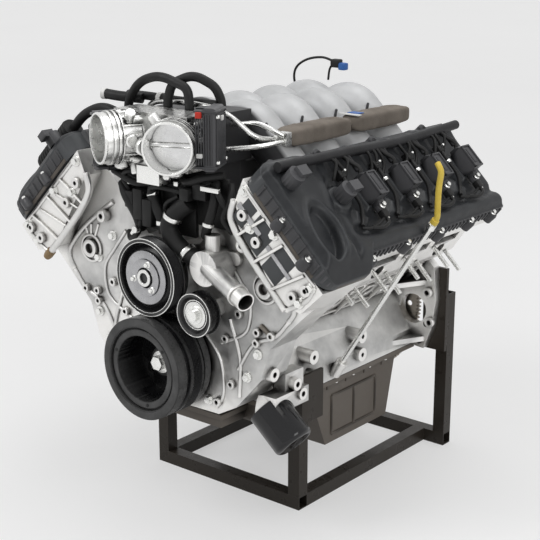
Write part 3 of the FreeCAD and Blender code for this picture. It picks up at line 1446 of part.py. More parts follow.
def damper():
    """Torsional damper: hub, rubber ring and grooved inertia ring."""
    face = "damper_radius - damper_face"
    hub = lathe("damper_hub_blank", [
        ("-damper_rear - 1", "snout / 2"), ("-damper_rear - 1", "36"), ("-damper_web + 8", "36"),
        ("-damper_web + 8", "damper_cup"), ("-damper_rear - 10", "damper_cup"),
        ("-damper_rear - 10", f"{face} - damper_rubber"), ("-damper_front + 3", f"{face} - damper_rubber"),
        ("-damper_front + 3", "damper_cup"), ("-damper_web", "damper_cup"), ("-damper_web", "30"),
        ("-damper_web - 10", "26"), ("-damper_web - 10", "snout / 2"),
    ])
    # Three windows in the web leave its spokes.
    drawn = sketch(hub, "damper_window", "XZ", [("circle", "0", "45", "9")], "damper_web + 20")
    window = pocket(hub, drawn, "60")
    polar(hub, window, drawn, "3")
    node(hub, "damper_hub")
    rubber = lathe("damper_rubber_ring", [
        ("-damper_rear - 12", f"{face} - damper_rubber"), ("-damper_rear - 12", face),
        ("-damper_front + 6", face), ("-damper_front + 6", f"{face} - damper_rubber"),
    ])
    node(rubber, "damper_rubber")
    outline = [("-damper_rear", face), ("-damper_rear", "damper_radius - 3"),
            ("-damper_rear - 14", "damper_radius - 3"),
               ("-damper_rear - 14", "damper_radius - 9"), ("-damper_rear - 20", "damper_radius - 9"),
               ("-damper_rear - 20", "damper_radius")]
    for n in range(6):
        start = f"-damper_rear - 24 - {n} * 3.56"
        outline += [(start, "damper_radius"), (f"{start} - 1.78", "damper_radius - 3.2")]
    outline += [("-damper_rear - 24 - 6 * 3.56", "damper_radius"), ("-damper_rear - 52", "damper_radius"),
                ("-damper_rear - 54", "damper_radius - 5"), ("-damper_rear - 60", "damper_radius - 5"),
                ("-damper_rear - 62", "damper_radius"), ("-damper_front",
                        "damper_radius"), ("-damper_front", face)]
    node(lathe("damper_inertia", outline), "damper_inertia_ring")


def crank_fasteners():
    """Damper bolt with its washer, and the flexplate bolts."""
    forward, back = Vector(0, -1, 0), Vector(0, 1, 0)
    web = value("damper_web")
    washer = Part.makeCylinder(20, 4, Vector(0, -web - 10, 0), forward)
    head = prism(Vector(0, -web - 14, 0), forward, 13, 12)
    shank = Part.makeCylinder(5.95, 50, Vector(0, -web - 14, 0), back)
    bolts = [washer.fuse([head, shank])]
    face = value("flange_reach + flexplate_thickness")
    for n in range(8):
        place = flange_bolt_place(n, face)
        bolts.append(prism(place, back, 8, 7).fuse(
            Part.makeCylinder(value("flange_bolt") / 2 - 0.05, 24, place + back, forward)))
    return node(feature("crank_bolts_set", Part.makeCompound(bolts)), "crank_bolts")


def prism(at, heading, radius, height):
    """A hexagon head from a point along a direction."""
    frame = Placement(at, Rotation(Vector(0, 0, 1), heading))
    corners = [frame.multVec(Vector(radius * math.cos(math.radians(60 * n)),
            radius * math.sin(math.radians(60 * n)), 0))
               for n in range(7)]
    return Part.Face(Part.makePolygon(corners)).extrude(heading * height)


def flexplate():
    """Pressed plate with windows and a toothed starter ring."""
    owner = body("flexplate_pressed", ("0", "flange_reach + flexplate_thickness", "0"))
    disc = [("circle", "0", "0", "flexplate_radius - 14")]
    pad(owner, sketch(owner, "flexplate_disc", "XZ", disc), "flexplate_thickness")
    cuts = (
        ("flexplate_pilot", ("circle", "0", "0", "pilot_bore / 2 + 8"), "1"),
        ("flexplate_bolt", ("circle", "flange_bolt_circle / 2", "0", "flange_bolt / 2"), "8"),
        ("flexplate_converter", ("circle", "0", "converter_circle / 2", "converter_hole / 2"), "4"),
        ("flexplate_window", ("circle", "74", "74", "20"), "4"),
    )
    for name, circle, count in cuts:
        drawn = sketch(owner, name, "XZ", [circle], "-2")
        made = pocket(owner, drawn, "20", back=True)
        if count != "1":
            polar(owner, made, drawn, count)
    count = int(round(value("ring_gear_teeth")))
    tip, root, inner = values("flexplate_radius", "flexplate_radius - 4.5", "flexplate_radius - 14")
    points = []
    for n in range(count):
        for step, radius in ((0.1, root), (0.32, tip), (0.58, tip), (0.8, root)):
            angle = 2 * math.pi * (n + step) / count
            points.append(Vector(radius * math.cos(angle), 0, radius * math.sin(angle)))
    ring = Part.Face(Part.makePolygon(points + points[:1])).extrude(Vector(0, value("ring_gear_width"), 0))
    ring = ring.cut(Part.makeCylinder(inner, 40, Vector(0, -5, 0), Vector(0, 1, 0)))
    start = Placement(Vector(0, value("flange_reach - 4"), 0), Rotation())
    gear = feature("ring_gear_hobbed", ring, start)
    return node(group("flexplate_group", [owner, gear]), "flexplate")


def water_pump():
    """Shaft with impeller, and the pulley bolted to its flange."""
    at = ("0", "0", "pump_height")
    seat = "-pump_front + 14"
    node(lathe("pump_rotor_blank", [
        ("-front_face - 4", "0"), ("-front_face - 4", "42"), ("-front_face - 10",
                "42"), ("-front_face - 16", "14"),
        ("-front_face - 18", "8"), ("-front_face - 44", "8"), ("-front_face - 44", "22"), (seat,
                "22"), (seat, "0"),
    ], at), "water_pump_rotor")
    rim, rear = "pump_pulley", "-pump_front + pump_pulley_width"
    outline = [(f"{seat} - 0.02", "0"), (f"{seat} - 0.02", "48"), (rear, "54"), (rear, rim),
            (f"{rear} - 3", rim),
               (f"{rear} - 3", f"{rim} - 4")]
    for n in range(5):
        start = f"{rear} - 4 - {n} * 3.4"
        outline += [(start, f"{rim} - 2"), (f"{start} - 1.7", f"{rim} - 4.5")]
    outline += [("-pump_front + 2", f"{rim} - 2"), ("-pump_front", rim), ("-pump_front", f"{rim} - 7"),
                ("-pump_front + 12", f"{rim} - 12"), ("-pump_front + 6", "48"), ("-pump_front + 6", "0")]
    pulley = lathe("pump_pulley_spun", outline, at)
    bolts = []
    for n in range(3):
        angle = math.radians(120 * n + 30)
        place = Vector(26 * math.cos(angle), -value("pump_front") + 6,
                value("pump_height") + 26 * math.sin(angle))
        bolts.append(prism(place, Vector(0, -1, 0), 7, 6))
    bolts.append(Part.makeCylinder(10, 5, Vector(0, -value("pump_front") + 6, value("pump_height")),
            Vector(0, -1, 0)))
    heads = feature("pump_bolts_set", Part.makeCompound(bolts))
    return node(group("pump_pulley_group", [pulley, heads]), "water_pump_pulley")


def idler():
    """The idler wheel; its bolt belongs with the front cover's bolts."""
    at = ("idler_x", "0", "idler_z")
    back = "-idler_front + idler_width"
    node(lathe("idler_wheel_spun", [
        (back, "10.05"), (back, "idler_radius"), (f"{back} - 3", "idler_radius"), (f"{back} - 3",
                "idler_radius - 3"),
        ("-idler_front + 3", "idler_radius - 3"), ("-idler_front + 3", "idler_radius"), ("-idler_front",
                "idler_radius"),
        ("-idler_front", "idler_radius - 6"), ("-idler_front + 5",
                "idler_radius - 10"), ("-idler_front + 5", "10.05"),
    ], at), "idler_pulley")
    return lathe("idler_bolt_turned", [
        ("-idler_front + idler_width + 3", "0"), ("-idler_front + idler_width + 3",
                "10"), ("-idler_front + 4.8", "10"),
        ("-idler_front + 4.8", "16"), ("-idler_front + 1", "16"), ("-idler_front + 1",
                "10"), ("-idler_front - 5", "10"),
        ("-idler_front - 5", "0"),
    ], at)


def front_bolts():
    """Bolts along the front cover's edges, with the idler's own bolt."""
    forward = Vector(0, -1, 0)
    places = [("front_face", "78", "-62"), ("front_face", "-78", "-62"), ("front_face", "166", "0"),
              ("front_face", "-166", "0"), ("front_face", "190", "46"), ("front_face", "-190", "46"),
              ("front_face", "-150", "196"), ("front_face", "-188", "150"), ("front_face", "37", "-37"),
              ("front_face", "-37", "-37")]
    for side in (LEFT, RIGHT):
        for u, v in (("head_top - 12", "-head_inner + 16"), ("head_top - 12", "-10"),
                ("head_top - 12", "head_outer + 10"),
                     ("head_top - 48", "head_outer + 14"), ("head_top - 44", "-46")):
            places.append(("arm_front",) + bank_xz(side, u, v))
    heads = []
    for plane, x, z in places:
        at = Vector(value(x), -value(plane), value(z))
        heads.append(Part.makeCylinder(9, 2, at, forward).fuse(prism(at, forward, 6.5, 8)))
    bolts = feature("front_bolts_set", Part.makeCompound(heads))
    return node(group("front_bolts_group", [bolts, idler()]), "front_cover_bolts")


# Intake side


def throttle_axis(side):
    """Mouth centre, inward direction and shaft direction of a throttle bore, as vectors."""
    mouth = Vector(side * value("throttle_x"), -value("throttle_front"), value("throttle_z"))
    sine, cosine = values("splay_sin", "splay_cos")
    inward = Vector(-side * sine, cosine, 0)
    return mouth, inward, Vector(cosine, side * sine, 0)


def throttle_body():
    """One casting with two splayed barrels that meet at the manifold's neck."""
    outer, bore, length, shaft = values("throttle_radius", "throttle_bore / 2", "throttle_length",
            "throttle_shaft / 2")
    solids, hollows = [], []
    for side in (LEFT, RIGHT):
        mouth, inward, across = throttle_axis(side)
        outwards = across * side
        plate = mouth + inward * value("throttle_plate_inset")
        solids.append(Part.makeCylinder(outer, length, mouth, inward))
        solids.append(Part.makeCylinder(outer + 2.5, 4, mouth + inward * 15, inward))
        solids.append(Part.makeCylinder(outer + 2.5, 4, mouth + inward * 24, inward))
        solids.append(Part.makeCylinder(16, outer + 10, plate, outwards))
        solids.append(Part.makeCylinder(11, outer + 4, plate, outwards * -1))
        hollows.append(Part.makeCylinder(bore, length + 60, mouth - inward, inward))
        hollows.append(Part.makeCylinder(shaft + 0.05, outer + 4, plate, outwards))
        hollows.append(Part.makeCylinder(shaft + 0.05, outer + 2, plate, outwards * -1))
    front, back, half, z = values("throttle_front - 44", "neck_front", "throttle_x + 4", "throttle_z")
    web = Part.makeBox(2 * half, front - back, 92, Vector(-half, -front, z - 46))
    inside = Part.makeBox(2 * half - 20, front - back - 18, 76, Vector(-half + 10, -front + 24, z - 38))
    foot = Part.makeBox(52, 40, 30, Vector(-30, -front - 4, z - 74))
    shape = solids[0].fuse(solids[1:] + [web, foot]).cut(hollows + [inside])
    return node(feature("throttle_cast", shape), "throttle_body")


def throttle_plate(side):
    mouth, inward, across = throttle_axis(side)
    centre = mouth + inward * value("throttle_plate_inset")
    radius = value("throttle_bore / 2 - throttle_gap")
    disc = Part.makeCylinder(radius, 2.4, centre - inward * 1.2, inward)
    start = centre - across * (side * (value("throttle_radius") + 1.5))
    spindle = Part.makeCylinder(value("throttle_shaft") / 2, 2 * value("throttle_radius") + 4.5, start,
            across * side)
    name = f"throttle_plate_{SIDE_NAME[side]}"
    return node(feature(name + "_turned", disc.fuse(spindle)), name)


def throttle_covers():
    """Moulded covers over the throttle gears, outboard of each barrel."""
    covers = []
    for side in (LEFT, RIGHT):
        mouth, inward, across = throttle_axis(side)
        outwards = across * side
        plate = mouth + inward * value("throttle_plate_inset") + outwards * (value("throttle_radius") + 10.1)
        low = -36 if side == LEFT else -66
        shape = Part.makeBox(54, 24, 102, Vector(-27, 0, low))
        turn = math.degrees(math.atan2(outwards.y, outwards.x)) - 90
        rounded = shape.makeFillet(7, [e for e in shape.Edges if e.Length > 30])
        socket = Part.makeBox(22, 34, 16, Vector(-11, -14, low + (84 if side == LEFT else 2)))
        whole = rounded.fuse(socket.cut(Part.makeBox(17, 10, 11,
                Vector(-8.5, -15, low + (86.5 if side == LEFT else 4.5)))))
        whole.Placement = Placement(plate, Rotation(Vector(0, 0, 1), turn))
        covers.append(whole)
    return node(feature("throttle_covers_set", Part.makeCompound(covers)), "throttle_gear_covers")


def runner_bend_end(side, k):
    """Where a runner's arch ends and its straight leg starts, with the leg's direction, as vectors."""
    heading = Vector(side, 0, -1).normalize()
    up = Vector(side, 0, 1).normalize()
    centre = Vector(side * value("runner_x"), -value(bore_y(side, k)), value("runner_z"))
    return centre + up * value("runner_bend"), heading


def runner_leg(side, k, grow=0.0):
    """The straight outer leg of a runner, down to its head port."""
    start, heading = runner_bend_end(side, k)
    reach = -value("runner_foot") - start.dot(heading)
    return Part.makeCylinder(value("runner_radius") + grow, reach, start, heading)


def runner(side, k, size):
    """One arched runner: down into the plenum inside, down to the port outside."""
    bend, half_turn = value("runner_bend"), math.radians(67.5)
    centre = Vector(side * value("runner_x"), -value(bore_y(side, k)), value("runner_z"))
    inner = centre - Vector(side * bend, 0, 0)
    middle = centre + Vector(-side * math.cos(half_turn), 0, math.sin(half_turn)) * bend
    outer, heading = runner_bend_end(side, k)
    foot = inner - Vector(0, 0, 60)
    port = outer + heading * (-value("runner_foot") - outer.dot(heading))
    path = Part.Wire([Part.LineSegment(foot, inner).toShape(), Part.Arc(inner, middle, outer).toShape(),
                      Part.LineSegment(outer, port).toShape()])
    ring = Part.Wire([Part.makeCircle(size, foot, Vector(0, 0, 1))])
    return path.makePipeShell([ring], True, False)


def injector_line(side, k):
    """Rail end and direction of an injector, as vectors."""
    start = Vector(side * value("rail_x"), -value(bore_y(side, k)), value("rail_z"))
    return start, Vector(-side * 0.08, 0, -1).normalize()


def intake_manifold():
    """Hollow manifold: plenum in the valley, eight arched runners and a neck for the throttles."""
    radius, wall = values("runner_radius", "runner_wall")
    length, floor, half, height = values("block_length - 10", "plenum_floor", "plenum_half_width",
            "runner_z - 20")
    neck = values("neck_front", "throttle_z + 40")
    solids = [
        Part.makeBox(2 * half, length - 26, height - floor, Vector(-half, -length, floor)),
        Part.makeBox(150, neck[0] - 400, 86, Vector(-75, -neck[0], neck[1] - 86)),
        Part.makeBox(120, neck[0] - 424, neck[1] - 86 - floor + 1, Vector(-60, -neck[0] + 12, floor)),
    ]
    hollows = [
        Part.makeBox(2 * (half - wall), length - 34, height - floor - 2 * wall,
                Vector(-half + wall, -length + wall, floor + wall)),
        Part.makeBox(142, neck[0] - 408, 78, Vector(-71, -neck[0] - 1, neck[1] - 82)),
        Part.makeBox(112, neck[0] - 432, neck[1] - 86 - floor + 20, Vector(-56, -neck[0] + 16, floor + 4)),
    ]
    for side in (LEFT, RIGHT):
        for k in CYLINDERS:
            solids.append(runner(side, k, radius))
            hollows.append(runner(side, k, radius - wall))
            start, heading = runner_bend_end(side, k)
            port = start + heading * (-value("runner_foot") - start.dot(heading))
            plate = Part.makeBox(68, 76, 9, Vector(-34, -38, -9))
            plate.Placement = Placement(port, Rotation(Vector(0, 0, 1), heading))
            solids.append(plate)
            start, heading = injector_line(side, k)
            hollows.append(Part.makeCylinder(value("injector_radius") + 0.1, 60, start, heading))
    shape = solids[0].fuse(solids[1:]).cut(hollows)
    return node(feature("manifold_moulded", shape), "intake_manifold")


def fuel_system():
    """Rails, injectors and the foam covers that quieten them."""
    rail_r, tip_r = values("rail_radius", "injector_radius")
    rails, injectors = [], []
    for side in (LEFT, RIGHT):
        x, z = side * value("rail_x"), value("rail_z")
        rear = -value(bore_y(side, 0)) + 30
        rails.append(Part.makeCylinder(rail_r, 380, Vector(x, rear, z), Vector(0, -1, 0)))
        for k in CYLINDERS:
            start, heading = injector_line(side, k)
            injectors.append(Part.makeCylinder(tip_r, 38, start + heading * (rail_r + 0.05), heading).fuse(
                Part.makeBox(12, 18, 7,
                        start + heading * 10.5 + Vector(side * 4.8 - (12 if side < 0 else 0), -9,
                        -3.5))))
    left, right = (Vector(side * value("rail_x"), -value(bore_y(side, 0)) + 30 - 374,
            value("rail_z")) for side in (LEFT, RIGHT))
    high = value("throttle_z") + 62
    mid = -value("neck_front") + 28
    link = swept([left, left + Vector(-10, -40, 6), Vector(86, mid, high - 14), Vector(0, mid, high - 8),
                  Vector(-86, mid, high - 14), right + Vector(10, -20, 6), right], 5)
    node(feature("rails_brazed", rails[0].fuse([rails[1], link])), "fuel_rails")
    node(feature("injectors_set", Part.makeCompound(injectors)), "fuel_injectors")
    foam = []
    for side in (LEFT, RIGHT):
        x = value("rail_x - foam_width / 2") if side == LEFT else -value("rail_x + foam_width / 2")
        tools = [runner_leg(side, k, 0.3) for k in CYLINDERS] + [rails[0 if side == LEFT else 1], link]
        for front, rear in ((395, 218), (206, 30)):
            block = Part.makeBox(value("foam_width"), front - rear, value("foam_height"),
                                 Vector(x, -front, value("foam_top - foam_height")))
            block = block.makeFillet(5, [e for e in block.Edges if e.Length > 30])
            foam.append(block.cut(tools + injectors))
    keep = [max(block.Solids, key=lambda piece: piece.Volume) for block in foam]
    return node(feature("foam_set", Part.makeCompound(keep)), "fuel_rail_covers")


def oil_filter():
    seat, heading = filter_line()
    radius, length = values("filter_radius", "filter_length")
    can = Part.makeCylinder(radius, length, seat + heading * 0.1, heading)
    can = can.makeFillet(9, [e for e in can.Edges if (e.CenterOfMass - seat).Length > length - 2])
    return node(feature("filter_canister", can), "oil_filter")


def filter_adapter():
    """Cast bracket that carries the filter beside the front of the block."""
    seat, heading = filter_line()
    disc = Part.makeCylinder(value("filter_radius") - 3, 20, seat - heading * 20, heading)
    y, side = -value("filter_y"), value("rail_half_width")
    arm = Part.makeBox(34, 92, 30, Vector(side + 0.3, y - 20, -72))
    web = Part.makeBox(26, 50, 62, Vector(side + 0.3, y + 17, -72))
    spots = ((34, -30), (50, -52))
    bosses = [Part.makeCylinder(11, 40, Vector(side + 40.3, y + dy, dz), Vector(-1, 0, 0)) for dy,
            dz in spots]
    holes = [Part.makeCylinder(5, 60, Vector(side + 41, y + dy, dz), Vector(-1, 0, 0)) for dy, dz in spots]
    bore = Part.makeCylinder(9, 60, seat - heading * 40, heading)
    room = Part.makeCylinder(value("filter_radius") + 1, 90, seat, heading)
    block_side = Part.makeBox(200, 400, 400, Vector(side - 199.7, y - 200, -300))
    cover_side = Part.makeBox(60, 200, 200, Vector(side - 20, -value("block_length") - 199.7, -41.8))
    shape = disc.fuse([arm, web] + bosses).cut([bore, room, block_side, cover_side] + holes)
    return node(feature("adapter_cast", shape), "oil_filter_adapter")


def thermostat_housing():
    """Coolant outlet on the front cover with a beaded hose pipe."""
    centre = Vector(113, -value("front_face"), 191)
    forward = Vector(0, -1, 0)
    body_r, pipe_r = values("thermostat_radius", "outlet_radius")
    mouth = Vector(222, -590, 160)
    start = centre + forward * 36
    heading = (mouth - start).normalize()
    solids = [Part.makeCylinder(body_r, 50, centre, forward),
            Part.makeCylinder(pipe_r, (mouth - start).Length, start, heading),
              Part.makeCylinder(pipe_r + 2.5, 5, mouth - heading * 27, heading),
              Part.makeCylinder(11, 8, centre + Vector(-34, 0, 14), forward), Part.makeCylinder(11, 8,
                      centre + Vector(34, 0, 14), forward),
              Part.makeBox(68, 8, 22, centre + Vector(-34, -8, 3)), Part.makeCylinder(13, 34,
                      centre + Vector(0, -25, 20), Vector(0, 0, 1))]
    hollows = [Part.makeCylinder(body_r - 4, 44, centre + forward, forward),
               Part.makeCylinder(pipe_r - 2.5, (mouth - start).Length + 2, start, heading)]
    shape = solids[0].fuse(solids[1:]).cut(hollows)
    return node(feature("thermostat_cast", shape), "thermostat_housing")


def dipstick():
    """Straight guide tube from the pan rail, and the blade with its looped handle."""
    seat, top, heading = dipstick_line()
    blade, outer = values("dipstick_blade / 2", "tube_radius")
    length = (top - seat).Length
    tube = Part.makeCylinder(outer, length + 10, seat + heading * 2, heading)
    tube = tube.fuse(Part.makeCylinder(outer + 2.5, 10, top, heading))
    shape = tube.cut(Part.makeCylinder(blade + 0.6, length + 40, seat - heading * 4, heading))
    node(feature("dipstick_tube_drawn", shape), "dipstick_tube")
    mouth = top + heading * 12
    stem = Part.makeCylinder(blade, length + 36, seat - heading * 14, heading)
    stop = Part.makeCylinder(outer + 2, 8, mouth + heading * 0.3, heading)
    grip = swept([mouth + heading * 5, mouth + heading * 14, mouth + Vector(9, -2, 60),
            mouth + Vector(15, -4, 92),
                  mouth + Vector(4, 0, 104)], 5.2)
    return node(feature("dipstick_formed", stem.fuse([stop, grip])), "dipstick")


def hoses():
    """Breather hoses over the throttles and the sleeved hose that lies on the right cover."""
    arch = [(-132, -488, 404), (-122, -500, 440), (-84, -508, 478), (-36, -508, 492), (22, -502, 474),
            (24, -500, 448),
            (24, -500, 433.3)]
    hook = [(62, -462, 433.3), (62, -462, 452), (56, -470, 476), (24, -488, 496), (-18, -498, 478),
            (-24, -502, 450),
            (-24, -502, 433.3)]
    lead = [(-75.3, -486, 398), (-98, -486, 398), (-134, -490, 406), (-190, -496, 424), (-236, -500, 405),
            (-268, -500, 373.7)]
    arch_pipe, hook_pipe, lead_pipe = (swept([Vector(*p) for p in path], radius, radius - 2.5)
                                       for path, radius in ((arch, 8), (hook, 8), (lead, 9)))
    down = Vector(-1, 0, -1).normalize()
    start = Vector(-265.9, -500, 375.8)
    length, radius = values("sleeve_length", "sleeve_radius")
    sleeve = Part.makeCylinder(radius, length, start, down)
    sleeve = sleeve.cut(Part.makeCylinder(radius - 3, 14, start + down * (length - 14), down))
    return node(feature("hoses_set", Part.makeCompound([arch_pipe, hook_pipe, lead_pipe, sleeve])),
            "breather_hoses")


def coolant_pipes():
    """Bright hard pipes from the manifold's neck to a block at the end of the left fuel rail."""
    runs = ([(75.3, -452, 414), (92, -452, 414), (126, -444, 419), (150, -434, 408), (160, -420, 398)],
            [(75.3, -490, 378), (98, -490, 378), (142, -464, 383), (156, -438, 386), (159, -420, 388)])
    block = Part.makeBox(20, 14, 22, Vector(148.3, -420, 381))
    pipes = [swept([Vector(*p) for p in run], 4.5) for run in runs]
    return node(feature("pipes_brazed", block.fuse(pipes)), "coolant_pipes")


def harness():
    """Engine harness: a taped trunk along each cam cover with a lead to every coil and solenoid."""
    trunks = []
    for side in (LEFT, RIGHT):
        def at(u, v, y):
            x, z = values(*bank_xz(side, u, v))
            return Vector(x, -value(y), z)
        trunk_u, trunk_v = "cover_top + 13.3", "-88"
        ahead = "cover_front - 20" if side == LEFT else "cover_front - 95"
        trunk = swept([at(trunk_u, trunk_v, ahead), at(trunk_u, "-86", "400"), at(trunk_u, "-80", "200"),
                       at(trunk_u, trunk_v, head_rear(side) + " + 14")], 8.5)
        leads = [Part.makeCylinder(4, value("58 - coil_length * 0.72 + 10"),
                at(trunk_u, "-82", bore_y(side, k)),
                                   at(trunk_u, "0", "0") - at(trunk_u, "-82", "0")) for k in CYLINDERS]
        trunks.append(trunk.fuse(leads))
    return node(feature("harness_set", Part.makeCompound(trunks)), "wiring_harness")


def tube_box(name, size, at):
    """A length of square tube: the longest way is the open one."""
    outer = box(name + "_outer", size, at)
    spans = values(*size)
    long_way = spans.index(max(spans))
    inner_size = [s if i == long_way else f"{s} - 2 * stand_wall" for i, s in enumerate(size)]
    inner_at = [a if i == long_way else f"{a} + stand_wall" for i, a in enumerate(at)]
    return cut(name, outer, [box(name + "_inner", inner_size, inner_at)])


def stand():
    """Welded square-tube stand: floor frame, four uprights, rear plates and front brackets."""
    t, low = "stand_tube", "floor_level"
    span = "stand_front + stand_rear - 2 * stand_tube"
    frame = [
        tube_box("stand_front_bar", ("2 * stand_half_width", t, t),
                ("-stand_half_width", "-stand_front", low)),
        tube_box("stand_rear_bar", ("2 * stand_rear_half_width", t, t),
                ("-stand_rear_half_width", "stand_rear - stand_tube", low)),
    ]
    plates, bolts = [], []
    for side in (LEFT, RIGHT):
        tag = SIDE_NAME[side]
        inner = "stand_half_width - stand_tube" if side == LEFT else "-stand_half_width"
        frame.append(tube_box("stand_side_" + tag, (t, span, t), (inner, "-stand_front + stand_tube", low)))
        frame.append(tube_box("stand_front_post_" + tag,
                (t, t, "stand_floor - rail_drop - 13 - stand_tube"),
                              (inner, "-stand_front", f"{low} + stand_tube")))
        rear_x = "stand_rear_half_width - stand_tube" if side == LEFT else "-stand_rear_half_width"
        frame.append(tube_box("stand_rear_post_" + tag, (t, t, "stand_floor + 28 - stand_tube"),
                              (rear_x, "stand_rear - stand_tube", f"{low} + stand_tube")))
        plate = box("stand_plate_raw_" + tag, ("52", "stand_plate", "170"),
                ("182" if side == LEFT else "-234", "0", "-82"))
        holes = []
        for n, (x, z) in enumerate(bell_bolts(side)[:3]):
            holes.append(rod(f"stand_plate_hole_{tag}_{n}", "6.5", "stand_plate + 4",
                    (x, "stand_plate + 2", z), "-y"))
            at = Vector(value(x), value("stand_plate"), value(z))
            bolts.append(prism(at, Vector(0, 1, 0), 10, 8).fuse(
                Part.makeCylinder(6, value("stand_plate + bell_flange") + 6, at + Vector(0, 2, 0),
                        Vector(0, -1, 0))))
        plates.append(cut("stand_plate_" + tag, plate, holes))
        plates.append(box("stand_spacer_" + tag, ("14", "stand_rear - stand_tube - stand_plate", "104"),
                          ("stand_rear_half_width - 14" if side == LEFT else "-stand_rear_half_width",
                                  "stand_plate", "-78")))
        wall_x = "stand_half_width" if side == LEFT else "-stand_half_width - 6"
        plates.append(box("stand_bracket_" + tag, ("6", "62", "92"), (wall_x, "-stand_front", "-126")))
    plates.append(feature("stand_bolts_set", Part.makeCompound(bolts)))
    node(group("stand_frame_group", frame), "stand_frame")
    return node(group("stand_plates_group", plates), "stand_plates")


def build_checks():
    """Stops with a plain message if any object or shape is unsound."""
    for thing in doc.Objects:
        if "Invalid" in thing.State or "Error" in thing.State:
            raise SystemExit(f"{thing.Name} failed: {thing.State}")
    for thing in nodes:
        shape = thing.Shape
        if shape.isNull() or not shape.isValid() or not shape.Solids:
            raise SystemExit(f"{thing.Label} has no sound solid")


def write_parts():
    os.makedirs("parts", exist_ok=True)
    for thing in nodes:
        thing.Shape.exportStep(os.path.join("parts", thing.Label + ".step"))


def all_gaskets():
    return node(group("gaskets_group", head_gaskets() + cover_gaskets() + [pan_gasket()]), "gaskets")


fill_sheet()
cylinder_block()
main_caps()
main_bearings()
crankshaft()
rods_and_pistons()
oil_pan()
drain_plug()
oil_pickup()
oil_pump()
all_gaskets()
for bank in (LEFT, RIGHT):
    cylinder_head(bank)
    cam_cover(bank)
    throttle_plate(bank)
    for row in (-1, 1):
        camshaft(bank, row)
cam_caps()
valve_gear()
coils_and_plugs()
solenoids()
fill_cap()
exhaust_studs()
front_cover()
front_bolts()
crank_gears()
timing_chains()
chain_guides()
damper()
crank_fasteners()
flexplate()
water_pump()
throttle_body()
throttle_covers()
intake_manifold()
fuel_system()
oil_filter()
filter_adapter()
thermostat_housing()
dipstick()
hoses()
coolant_pipes()
harness()
stand()
doc.recompute()
build_checks()
write_parts()
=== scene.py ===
"""Looks of the V8 engine on its shipping stand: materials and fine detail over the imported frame.

Lengths in the helpers are millimetres in the frame's axes and become metres in the meshes.
Bank frame: u along the cylinders away from the crank, v outwards, y forward of the block's rear face.
"""
import math

import bmesh
import bpy
from mathutils import Matrix, Vector


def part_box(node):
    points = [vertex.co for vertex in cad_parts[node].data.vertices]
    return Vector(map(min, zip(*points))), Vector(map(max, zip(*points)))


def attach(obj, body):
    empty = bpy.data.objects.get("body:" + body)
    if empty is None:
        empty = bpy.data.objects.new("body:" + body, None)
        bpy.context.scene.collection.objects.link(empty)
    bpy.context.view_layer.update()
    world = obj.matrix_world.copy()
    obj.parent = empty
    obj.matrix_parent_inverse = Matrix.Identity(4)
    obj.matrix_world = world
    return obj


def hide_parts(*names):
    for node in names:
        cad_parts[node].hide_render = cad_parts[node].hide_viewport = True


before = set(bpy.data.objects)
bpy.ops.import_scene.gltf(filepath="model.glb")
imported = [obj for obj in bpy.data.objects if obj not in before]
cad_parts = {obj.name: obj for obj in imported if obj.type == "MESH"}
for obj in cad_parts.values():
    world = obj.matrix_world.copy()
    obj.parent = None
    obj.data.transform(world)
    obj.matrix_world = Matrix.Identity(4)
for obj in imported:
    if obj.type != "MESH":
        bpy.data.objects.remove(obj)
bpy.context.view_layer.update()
LEFT, RIGHT = 1, -1
HALF = math.sqrt(0.5)
SIDE_WORD = {LEFT: "left", RIGHT: "right"}
UP, OUTWARD = (0.0, 0.0, 1.0), (1.0, 0.0, 0.0)
AHEAD, REARWARD = (0.0, -1.0, 0.0), (0.0, 1.0, 0.0)


# Materials

